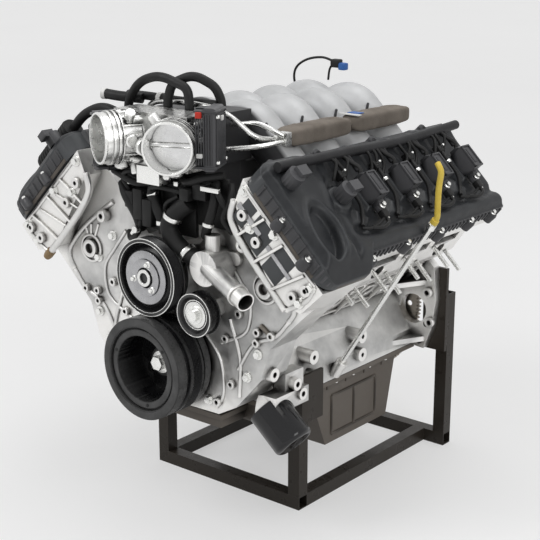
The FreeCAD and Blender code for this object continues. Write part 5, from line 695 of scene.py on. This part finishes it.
for side in (LEFT, RIGHT):
    word = SIDE_WORD[side]
    place = throttle_place(side)
    ribs = Kit("throttle_ribs_" + word, place)
    for k in range(16):
        angle = math.radians(22.5 * k + 11)
        if abs(math.cos(angle)) > 0.93:
            continue
        a, b = math.cos(angle), math.sin(angle)
        ribs.tube(((a * 42.5, 31, b * 42.5), (a * 43.4, 52, b * 43.4), (a * 42.5, 73, b * 42.5)), 2.6, 10,
                4)
    for degrees in (45, 135, 225, 315):
        a, b = compass(degrees)
        ribs.lathe(((7, 0), (7, 26), (5.6, 28)), (a * 47, 50, b * 47), REARWARD, 22)
    ribs.ring(39.8, 44, 0.4, 5, (0, 0, 0), REARWARD, 64, 1.6)
    ribs.lathe(((13, 0), (13, 12), (10, 15), (4, 15.6)), (0, 42, -38), (0, 0, -1), 28)
    ribs.lathe(((11, 0), (11, 12), (9, 14)), (-38, 44, 0), (-1, 0, 0), 28)
    ribs.make(bright)
    screws = Kit("throttle_screws_" + word, place)
    for degrees in (45, 135, 225, 315):
        a, b = compass(degrees)
        screws.bolt((a * 47, 50.4, b * 47), AHEAD, 3.8, 4)
    screws.make(zinc)
    low, high = node_bounds("throttle_gear_covers", place, lambda point: point.x * side > 0)
    drive = Kit("gear_cover_ribs_" + word, place)
    outside = high[0]
    width = high[1] - low[1]
    for k in range(7):
        y = low[1] + width * (k + 1) / 8
        drive.block((outside - 1, y - 1.3, low[2] + 8), (outside + 2.2, y + 1.3, high[2] - 8), 0.7)
        drive.block((low[0] + 4 + k * (outside - low[0] - 8) / 7, low[1] - 2, low[2] + 10),
                    (low[0] + 6.2 + k * (outside - low[0] - 8) / 7, low[1] + 1, high[2] - 10), 0.7)
    drive.block((low[0] + 1, low[1] - 1.6, high[2] - 8), (outside + 1.6, high[1] + 1, high[2] - 4), 1)
    drive.block((low[0] + 1, low[1] - 1.6, low[2] + 4), (outside + 1.6, high[1] + 1, low[2] + 8), 1)
    drive.make(black_plastic)
    clips = Kit("gear_cover_clips_" + word, place)
    for y in (low[1] + 6, high[1] - 6):
        for z in (low[2] + 14, high[2] - 14):
            clips.lathe(((3.4, 0), (3.4, 4), (2.6, 5)), (outside, y, z), OUTWARD, 16)
    clips.make(zinc)
    tags = Kit("gear_cover_locks_" + word, place)
    tags.block((outside - 2, (low[1] + high[1]) / 2 - 5, high[2] - 22),
            (outside + 4.5, (low[1] + high[1]) / 2 + 5, high[2] - 14), 1)
    tags.block((low[0] + 6, low[1] - 4.5, low[2] + 22), (low[0] + 16, low[1] + 1, low[2] + 29), 1)
    tags.make(white_plastic)
    reds = Kit("gear_cover_latches_" + word, place)
    reds.block((low[0] + 5, low[1] - 5.5, high[2] - 16), (low[0] + 15, low[1] + 1, high[2] - 6), 1.2)
    reds.make(red_plastic)


# Foam covers over the fuel rails

def foam_pads():
    kit = Kit("foam_covers_soft")
    cuts = 26
    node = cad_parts["fuel_rail_covers"].data
    islands = {}
    for vert in node.vertices:
        point = vert.co * 1000
        key = (point.x > 0, round((point.y + 212) / 1000) if abs(point.y + 212) > 400 else point.y < -212)
        low, high = islands.setdefault(key, (list(point), list(point)))
        for i in range(3):
            low[i], high[i] = min(low[i], point[i]), max(high[i], point[i])
    for low, high in islands.values():
        centre = [(a + b) / 2 for a, b in zip(low, high)]
        half = [(b - a) / 2 - 0.4 for a, b in zip(low, high)]
        cube = bmesh.new()
        bmesh.ops.create_cube(cube, size=2)
        bmesh.ops.subdivide_edges(cube, edges=cube.edges[:], cuts=cuts, use_grid_fill=True)
        index = {vert: i for i, vert in enumerate(cube.verts)}
        points = []
        for vert in cube.verts:
            x, y, z = vert.co
            power = 5
            shrink = 1 / (abs(x) ** power + abs(y) ** power + abs(z) ** power) ** (1 / power)
            x, y, z = x * shrink, y * shrink, z * shrink
            along = centre[1] + y * half[1]
            puff = 1 - 0.05 * hump(y, -0.30, 0.035) - 0.05 * hump(y, 0.36, 0.035) - 0.04 * hump(x, 0.12,
                    0.07) * (z > 0)
            puff -= 0.025 * (1 + math.sin(along * 0.11 + x * 2.2) * math.cos(x * 3 + along * 0.05))
            points.append((centre[0] + x * half[0] * puff, along, centre[2] + z * half[2] * puff))
        kit.solid(points, [tuple(index[vert] for vert in face.verts) for face in cube.faces])
        cube.free()
    pads = kit.make(foam, angle=60)
    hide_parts("fuel_rail_covers")
    strap = Kit("foam_cover_tag")
    strap.block((118, -206, 404.5), (162, -196, 406.3), 0.4)
    strap.make(white_plastic)
    label = Kit("foam_cover_tag_end")
    label.block((126, -192, 404.8), (150, -172, 406.3), 0.4)
    label.make(blue_plastic)


foam_pads()


# Hoses, elbow and plugs between throttles and front cover

elbow = Kit("lower_elbow_hose")
elbow.tube(((62, -545, 292), (34, -552, 268), (24, -556, 246), (40, -556, 222), (66, -552, 204),
        (88, -548, 198)), 15, 24)
elbow.make(black_rubber)
cluster = Kit("front_valley_plugs")
for low, high in (((-66, -552, 246), (-44, -522, 300)), ((-38, -558, 238), (-16, -524, 286)),
                  ((-10, -548, 226), (10, -522, 262)), ((74, -552, 300), (104, -526, 328)),
                  ((52, -560, 296), (72, -528, 318)), ((-92, -546, 262), (-72, -522, 292))):
    cluster.block(low, high, 2.5)
    cluster.block((low[0] - 1.5, low[1] + 5, high[2] - 9), (high[0] + 1.5, high[1] - 5, high[2] - 4), 1)
for path, radius in ((((-55, -540, 246), (-58, -548, 222), (-84, -540, 206), (-100, -528, 214)), 5),
                     (((-27, -542, 286), (-20, -552, 306), (8, -556, 312), (52, -546, 306)), 4.5),
                     (((104, -540, 316), (124, -548, 322), (140, -548, 300), (150, -534, 280)), 5),
                     (((-88, -536, 292), (-92, -548, 316), (-70, -552, 330), (-40, -540, 322)), 4),
                     (((0, -540, 262), (14, -550, 284), (40, -548, 300)), 4)):
    cluster.tube(path, radius, 14)
cluster.make(black_rubber)
clamps = Kit("hose_clamps")
clamps.ring(15.2, 17.4, -4, 4, (31, -553, 264), (-0.45, -0.1, -0.9), 32, 0.6)
clamps.ring(15.2, 17.4, -4, 4, (62, -552.6, 206.5), (0.8, 0.1, -0.55), 32, 0.6)
clamps.block((96, -556, 318), (136, -550, 326), 1.2)
clamps.block((-6, -556, 244), (6, -549, 252), 1)
clamps.lathe(((6, 0), (6, 9), (3, 10)), (-48, -558, 232), AHEAD, 18)
clamps.make(zinc)


# Pulley, idler and damper faces

PUMP_X, PUMP_Z = 0, 160.5
IDLER_X, IDLER_Z = 102, 112
PUMP_FRONT, IDLER_FRONT = -592, -578
DAMPER_FRONT = -605

pump_face = Kit("pump_pulley_face")
pump_face.ring(31, 47, 0, 5, (PUMP_X, PUMP_FRONT + 6, PUMP_Z), AHEAD, 72, 0.8)
pump_face.ring(18, 32.4, 0, 0.8, (PUMP_X, PUMP_FRONT, PUMP_Z), AHEAD, 48, 0.2)
pump_face.make(steel, "water_pump")
pump_hub = Kit("pump_pulley_hub")
pump_hub.ring(9, 15, 0, 4, (PUMP_X, PUMP_FRONT, PUMP_Z), AHEAD, 48, 0.8)
for degrees in (72, 192, 312):
    a, b = compass(degrees)
    pump_hub.bolt((PUMP_X + a * 25.5, PUMP_FRONT - 0.6, PUMP_Z + b * 25.5), AHEAD, 4.4, 5)
pump_hub.make(zinc, "water_pump")
pump_rim = Kit("pump_pulley_rim")
pump_rim.ring(66.6, 68.3, 0, 0.6, (PUMP_X, PUMP_FRONT, PUMP_Z), AHEAD, 96, 0.2)
pump_rim.ring(60.8, 61.9, 0, 0.5, (PUMP_X, PUMP_FRONT, PUMP_Z), AHEAD, 96, 0.2)
pump_rim.make(zinc, "water_pump")
idler_face = Kit("idler_pulley_face")
idler_face.ring(11, 23, 0, 1.6, (IDLER_X, IDLER_FRONT, IDLER_Z), AHEAD, 56, 0.5)
idler_face.ring(36, 37.6, 0, 0.6, (IDLER_X, IDLER_FRONT - 5, IDLER_Z), AHEAD, 64, 0.2)
idler_face.ring(24.4, 26, 0, 0.8, (IDLER_X, IDLER_FRONT, IDLER_Z), AHEAD, 64, 0.2)
idler_face.make(zinc, "idler")

damper_face = Kit("damper_front_ring")
damper_face.ring(76.5, 89.5, 0, 0.8, (0, DAMPER_FRONT - 3, 0), AHEAD, 120, 0.3)
damper_face.ring(60, 70, 0, 0.6, (0, DAMPER_FRONT, 0), AHEAD, 120, 0.3)
damper_face.make(damper_grey, "crank_train")
# Painted shade: flat black discs on the damper face stand in for the shade inside the puller holes.
damper_hole_shade = Kit("damper_puller_holes")
for degrees in (40, 160, 280):
    a, b = compass(degrees)
    damper_hole_shade.lathe(((3.2, 0), (3.2, 1)), (a * 65, DAMPER_FRONT, b * 65), AHEAD, 20)
damper_hole_shade.make(black_rubber, "crank_train")


# Ribbed breather sleeve

sleeve = Kit("breather_sleeve_rings")
start, heading = Vector((-265.9, -500, 375.8)), Vector((-1, 0, -1)).normalized()
for k in range(13):
    at = start + heading * (5 + k * 8.1)
    sleeve.ring(19.5, 22, -2, 2, tuple(at), tuple(heading), 36, 1.2)
sleeve.make(black_rubber)


# Block, bell and pan ribs and bosses

def block_side(side):
    word = SIDE_WORD[side]
    place = bank_place(side)
    ribs = Kit("block_side_ribs_" + word, place)
    wall = 62
    for forward in (32, 118, 222, 322, 412):
        ribs.prism(((wall - 2, 100), (wall + 7, 112), (wall + 9, 206), (wall - 2, 218)), -forward - 3,
                -forward + 3, 1.4)
    ribs.block((wall - 2, -436, 205), (wall + 6, -20, 212), 2)
    ribs.block((wall - 2, -430, 120), (wall + 5, -26, 125), 1.6)
    for forward in (75, 170, 272, 367):
        ribs.ring(13, 20, -1, 5, (wall, -forward, 165), OUTWARD, 36, 1.4)
        ribs.ring(3.4, 8.5, -1, 9, (wall, -forward - 30, 142), OUTWARD, 24, 1)
        ribs.ring(3, 7, -1, 7, (wall, -forward + 26, 192), OUTWARD, 24, 1)
    ribs.make(cast)


for side in (LEFT, RIGHT):
    block_side(side)

rear_wall = Kit("bell_flange_lugs")
for side in (LEFT, RIGHT):
    for x, z in ((205, 40), (212, -20), (180, 110), (130, 165)):
        rear_wall.ring(5, 10, 0, 9, (side * x, -18, z), AHEAD, 28, 1.2)
rear_wall.make(cast)

pan_trim = Kit("pan_ribs")
for side in (LEFT, RIGHT):
    for forward in (70, 130, 190, 250):
        pan_trim.block((side * 133 - 2, -forward - 2.5, -112), (side * 133 + 2, -forward + 2.5, -88), 0.9)
    for forward in (330, 380, 430):
        pan_trim.block((side * 133 - 2, -forward - 2.5, -110), (side * 133 + 2, -forward + 2.5, -88), 0.9)
pan_trim.make(pan_brown)
pan_bolts = Kit("pan_bolts")
for side in (LEFT, RIGHT):
    for k in range(8):
        pan_bolts.bolt((side * 154, -36 - k * 54, -85), (0, 0, -1), 4.6, 5)
for x in (-88, -44, 0, 44, 88):
    pan_bolts.bolt((x, -508, -85), (0, 0, -1), 4.6, 5)
pan_bolts.make(zinc)


# Intake manifold studs

studs = Kit("manifold_studs")
for k in range(4):
    for side in (LEFT, RIGHT):
        forward = COIL_ROWS[side][k]
        lean = (side * 0.25, 0, 1)
        studs.lathe(((7, 0), (7, 9), (5, 11)), (side * 96, -forward - 26, 372), lean, 20)
        studs.lathe(((2.6, 0), (2.6, 30), (1.8, 32)), (side * 98, -forward - 26, 380), lean, 14)
studs.make(black_plastic)


# Rear faces of the heads: cam plugs, bosses and ribs

for side in (LEFT, RIGHT):
    word = SIDE_WORD[side]
    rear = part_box("cylinder_head_" + word)[1][1] * 1000
    plugs = Kit("head_rear_plugs_" + word, bank_place(side))
    for v in (-56, 34):
        plugs.lathe(((21, 0), (21, 3), (17, 4), (15, 2), (4, 2)), (v, rear - 0.5, 352), REARWARD, 40)
    plugs.make(zinc)
    bosses = Kit("head_rear_bosses_" + word, bank_place(side))
    for v, u in ((-80, 300), (-10, 318), (46, 296), (-90, 376), (66, 372), (-12, 262)):
        bosses.ring(3.8, 9, -1, 6, (v, rear, u), REARWARD, 28, 1)
    bosses.tube(((-90, rear, 376), (-46, rear, 320), (-10, rear, 318), (40, rear, 322), (66, rear, 372)),
            3.2)
    bosses.make(cast)


# Painted shade: near-black sheets on the channel floors in the left arm, and hoses over near-black slabs in
# the bay under the throttles

# Painted shade: thin charcoal sheets laid in the cast arm's channels, where there is only shade.
channel = Kit("front_cover_channel_shade", bank_place(LEFT))
channel.block((-84, -560.6, 324), (-58, -558, 372), 0.5)
channel.block((-50, -560.6, 318), (-6, -558, 373), 0.5)
channel.block((10, -560.6, 314), (50, -558, 373), 0.5)
channel.make(charcoal)
strip = Kit("front_cover_strip", bank_place(LEFT))
strip.block((-90, -562.4, 344), (-26, -559, 354), 1.2)
strip.block((-6, -562.4, 344), (60, -559, 352), 1.2)
strip.make(steel)

bay = Kit("front_bay_hoses_and_shade_slabs")
for path, radius in ((((-112, -528, 300), (-92, -540, 282), (-70, -538, 250), (-64, -532, 222)), 9),
                     (((-20, -530, 326), (-24, -544, 296), (-6, -546, 262), (4, -540, 236)), 10),
                     (((110, -532, 330), (120, -548, 300), (108, -550, 262), (92, -540, 238)), 8),
                     (((-130, -530, 320), (-104, -546, 322), (-60, -546, 310), (-16, -534, 316)), 7),
                     (((30, -530, 330), (60, -548, 326), (96, -548, 338), (130, -532, 344)), 7),
                     (((140, -528, 330), (150, -542, 306), (136, -544, 276), (146, -532, 250)), 5.5)):
    bay.tube(path, radius, 16)
# Painted shade: thin near-black slabs over the front cover plate stand in for the shade of the bay under
# the throttles.
for low, high in (((-60, -528, 226), (60, -519, 330)), ((-118, -526, 268), (-62, -519, 332)),
                  ((62, -526, 250), (132, -519, 336))):
    bay.block(low, high, 3)
for k in range(5):
    bay.block((-52 + k * 9, -534, 232 + 2 * k), (-47 + k * 9, -524, 300), 1.2)
bay.make(black_rubber)
bay_bits = Kit("front_bay_fittings")
bay_bits.ring(9.4, 11.4, -3, 3, (-24, -543.6, 296), (-0.2, -0.4, 1), 28, 0.5)
bay_bits.ring(8.4, 10.2, -3, 3, (108, -550, 262), (0.2, 0.1, 1), 28, 0.5)
bay_bits.bolt((18, -536, 240), AHEAD, 5, 6)
bay_bits.bolt((-84, -530, 214), AHEAD, 5, 6)
bay_bits.block((-78, -552, 306), (-66, -545, 316), 1.5)
bay_bits.block((36, -556, 318), (46, -548, 326), 1.5)
bay_bits.make(zinc)


# Bores, shafts and fittings of the throttles, and the pipes above them

for side in (LEFT, RIGHT):
    place = throttle_place(side)
    fittings = Kit("throttle_fittings_" + SIDE_WORD[side], place)
    fittings.ring(44.4, 46.6, 31.5, 34, (0, 0, 0), REARWARD, 64, 0.5)
    fittings.ring(43.6, 46.4, 66, 70, (0, 0, 0), REARWARD, 64, 0.8)
    fittings.lathe(((9, 0), (9, 16), (7.4, 18)), (-30, 46, 33), (-0.6, 0, 0.8), 24)
    fittings.lathe(((7, 0), (7, 18), (5.5, 20)), (-16, 58, -42), (-0.3, 0, -1), 24)
    fittings.lathe(((15, 0), (15, 15), (13, 18), (5, 18.5)), (-43.5, 62, -10), (-1, 0, 0), 30)
    fittings.make(bright)

top_pipes = Kit("top_pipes")
top_pipes.tube(((-150, -470, 446), (-90, -478, 448), (-20, -480, 447), (60, -470, 446)), 7.5, 20)
top_pipes.tube(((-170, -505, 448), (-140, -500, 446), (-100, -486, 444)), 9, 20)
top_pipes.make(black_rubber)
top_caps = Kit("top_pipe_caps")
top_caps.ring(7.8, 9.6, -5, 5, (-62, -479.6, 447.8), OUTWARD, 28, 0.8)
top_caps.lathe(((9.6, 0), (9.6, 8), (7, 9)), (-170, -505, 448), (-0.9, -0.2, 0), 24)
top_caps.make(white_plastic)


# Injector and sensor leads lying along the covers

def cable_clutter(side):
    word = SIDE_WORD[side]
    place = bank_place(side)
    leads = Kit("sensor_leads_" + word, place)
    ends = Kit("sensor_lead_clips_" + word, place)
    for k, row in enumerate(COIL_ROWS[side]):
        for step in (18, 34, 50):
            f = row + step
            sway = 6 * math.sin(1.7 * k + step)
            leads.tube(((-88, -f, 440), (-70, -f - sway, 446), (-52, -f + sway, 437),
                    (-40 + sway, -f - 8, 431)), 2.8, 10, 5)
        leads.block((-60, -row - 44, 426), (-44, -row - 30, 440), 1.6)
        leads.tube(((-44, -row - 37, 436), (-20, -row - 44, 440), (8, -row - 40, 436),
                (30, -row - 50, 431), (44, -row - 62, 430)), 3.6, 12, 6)
        leads.tube(((46, -row - 64, 428), (52, -row - 50, 431), (50, -row - 26, 432),
                (44, -row - 6, 434)), 2.6, 10, 5)
        ends.ring(3.8, 5, -3, 3, (-20, -row - 44, 440), (1, -0.1, 0), 20, 0.4)
        ends.lathe(((2.4, 0), (2.4, 9), (1.6, 10)), (-52, -row - 37, 439), UP, 14)
    leads.make(black_rubber)
    ends.make(zinc)


for side in (LEFT, RIGHT):
    cable_clutter(side)


# Wiring loop and plug behind the runners, and the sump's pressed panel

rear_loop = Kit("rear_wiring_loop")
rear_loop.tube(((-104, -44, 404), (-108, -50, 438), (-94, -58, 461), (-66, -60, 477), (-31, -60, 483),
                (-4, -60, 478)), 2.4, 12)
rear_loop.tube(((-20, -54, 440), (-12, -60, 462), (-2, -60, 474)), 2.2, 12)
rear_loop.block((-6, -68, 466), (14, -52, 482), 2.5)
rear_loop.make(black_rubber)
rear_plug = Kit("rear_wiring_plug")
rear_plug.block((12, -67, 462), (28, -53, 476), 2.5)
rear_plug.make(blue_plastic)

panel = Kit("sump_panel_frame")
base_side = node_bounds("oil_pan", Matrix.Identity(4), lambda point: point.z < -205)[1][0]
head_side = node_bounds("oil_pan", Matrix.Identity(4),
        lambda point: -130 < point.z < -108 and point.y > -290)[1][0]


def sump_wall(z):
    """How far out the sump's tapering side lies at a height."""
    share = (z + 223) / 109
    return base_side + (head_side - base_side) * share


for start, end in (((-92, -128), (-236, -128)), ((-236, -128), (-236, -206)), ((-236, -206), (-92, -206)),
                   ((-92, -206), (-92, -128)), ((-164, -128), (-164, -206))):
    for side in (LEFT, RIGHT):
        panel.tube([(side * sump_wall(z), y, z) for y, z in (start,
                ((start[0] + end[0]) / 2, (start[1] + end[1]) / 2), end)], 3, 12, 4)
panel.make(pan_brown)


# Camera, light and floor

FOCAL_PIXELS, PHOTO_PIXELS, SENSOR_WIDTH = 1273.88, 540.0, 36.0
CAMERA_AZIMUTH, CAMERA_ELEVATION = 39.346, 15.895
CAMERA_AT = (1.47696, -2.05956, 0.76422)


def camera():
    data = bpy.data.cameras.new("photo_camera")
    thing = bpy.data.objects.new("photo_camera", data)
    bpy.context.scene.collection.objects.link(thing)
    data.sensor_width, data.sensor_fit = SENSOR_WIDTH, "HORIZONTAL"
    data.lens = FOCAL_PIXELS / PHOTO_PIXELS * SENSOR_WIDTH
    data.clip_start, data.clip_end = 0.1, 50.0
    azimuth, elevation = math.radians(CAMERA_AZIMUTH), math.radians(CAMERA_ELEVATION)
    flat = math.cos(elevation)
    back = Vector((math.sin(azimuth) * flat, -math.cos(azimuth) * flat, math.sin(elevation)))
    thing.location = Vector(CAMERA_AT)
    thing.rotation_mode = "QUATERNION"
    thing.rotation_quaternion = (-back).to_track_quat("-Z", "Y")
    bpy.context.scene.camera = thing


WORLD_LEVEL = 0.52
FLOOR_GLOW = 0.45
FLOOR_LEVEL, FLOOR_REACH = -0.2953, 12.0
SHADE_REACH = 8.0
FLOOR_SHADES = ((0.0, 0.44), (8.0, 0.78), (0.8, 0.49), (1.6, 0.56), (2.4, 0.61), (4.0, 0.70))


def seen_rays(tree, rays):
    """One for camera, mirror and glass rays, nought for the rays that only light things."""
    first = tree.nodes.new("ShaderNodeMath")
    first.operation = "MAXIMUM"
    tree.links.new(rays.outputs["Is Camera Ray"], first.inputs[0])
    tree.links.new(rays.outputs["Is Glossy Ray"], first.inputs[1])
    second = tree.nodes.new("ShaderNodeMath")
    second.operation = "MAXIMUM"
    tree.links.new(first.outputs["Value"], second.inputs[0])
    tree.links.new(rays.outputs["Is Transmission Ray"], second.inputs[1])
    return second.outputs["Value"]


def area(name, at, aim, size, power, colour=(1.0, 1.0, 1.0)):
    data = bpy.data.lights.new(name, "AREA")
    data.shape, data.size, data.size_y = "RECTANGLE", size[0], size[1]
    data.energy, data.color = power, colour
    thing = bpy.data.objects.new(name, data)
    bpy.context.scene.collection.objects.link(thing)
    thing.location = at
    thing.rotation_mode = "QUATERNION"
    thing.rotation_quaternion = (Vector(aim) - Vector(at)).to_track_quat("-Z", "Y")


def studio():
    world = bpy.data.worlds.new("studio")
    bpy.context.scene.world = world
    world.use_nodes = True
    background = world.node_tree.nodes["Background"]
    background.inputs["Color"].default_value = (0.82, 0.82, 0.82, 1.0)
    tree = world.node_tree
    rays = tree.nodes.new("ShaderNodeLightPath")
    level = tree.nodes.new("ShaderNodeMapRange")
    level.inputs["To Min"].default_value = WORLD_LEVEL
    level.inputs["To Max"].default_value = 1.0
    tree.links.new(seen_rays(tree, rays), level.inputs["Value"])
    tree.links.new(level.outputs["Result"], background.inputs["Strength"])
    area("key_light", (-1.2, -2.6, 2.6), (0.0, -0.25, 0.05), (1.4, 1.4), 34.0)
    area("side_light", (2.6, -1.0, 1.4), (0.0, -0.25, 0.0), (1.2, 1.6), 20.0)
    area("top_light", (0.2, 0.2, 3.0), (0.0, -0.25, 0.0), (1.8, 1.8), 26.0)
    mesh = bpy.data.meshes.new("floor")
    corners = [(a * FLOOR_REACH, b * FLOOR_REACH, FLOOR_LEVEL) for a,
            b in ((-1, -1), (1, -1), (1, 1), (-1, 1))]
    mesh.from_pydata(corners, [], [(0, 1, 2, 3)])
    floor = bpy.data.objects.new("floor", mesh)
    bpy.context.scene.collection.objects.link(floor)
    surface = Paint("pale_floor").set(Roughness=0.9, Specular_IOR_Level=0.05)
    far = surface.node("ShaderNodeVectorMath")
    far.operation = "LENGTH"
    surface.link(surface.coords, far.inputs[0])
    spread = surface.tree.nodes.new("ShaderNodeMapRange")
    spread.inputs["From Max"].default_value = SHADE_REACH
    surface.link(far.outputs["Value"], spread.inputs["Value"])
    ramp = surface.tree.nodes.new("ShaderNodeValToRGB")
    for k, (reach_m, shade) in enumerate(FLOOR_SHADES):
        stop = ramp.color_ramp.elements[k] if k < 2 else ramp.color_ramp.elements.new(reach_m / SHADE_REACH)
        stop.position = reach_m / SHADE_REACH
        stop.color = (shade, shade, shade, 1.0)
    surface.link(spread.outputs["Result"], ramp.inputs["Fac"])
    cloud = surface.span(surface.noise(2.0), 0.985, 1.015)
    tone = surface.tree.nodes.new("ShaderNodeVectorMath")
    tone.operation = "SCALE"
    surface.link(ramp.outputs["Color"], tone.inputs[0])
    surface.link(cloud, tone.inputs["Scale"])
    surface.into("Base Color", tone.outputs["Vector"])
    surface.set(Emission_Color=(1.0, 1.0, 1.0))
    rays = surface.tree.nodes.new("ShaderNodeLightPath")
    glow = surface.node("ShaderNodeMath")
    glow.operation = "MULTIPLY"
    glow.inputs[1].default_value = FLOOR_GLOW
    surface.link(seen_rays(surface.tree, rays), glow.inputs[0])
    surface.into("Emission Strength", glow.outputs["Value"])
    mesh.materials.append(surface.material)


camera()
studio()
scene = bpy.context.scene
scene.view_settings.view_transform = "Standard"
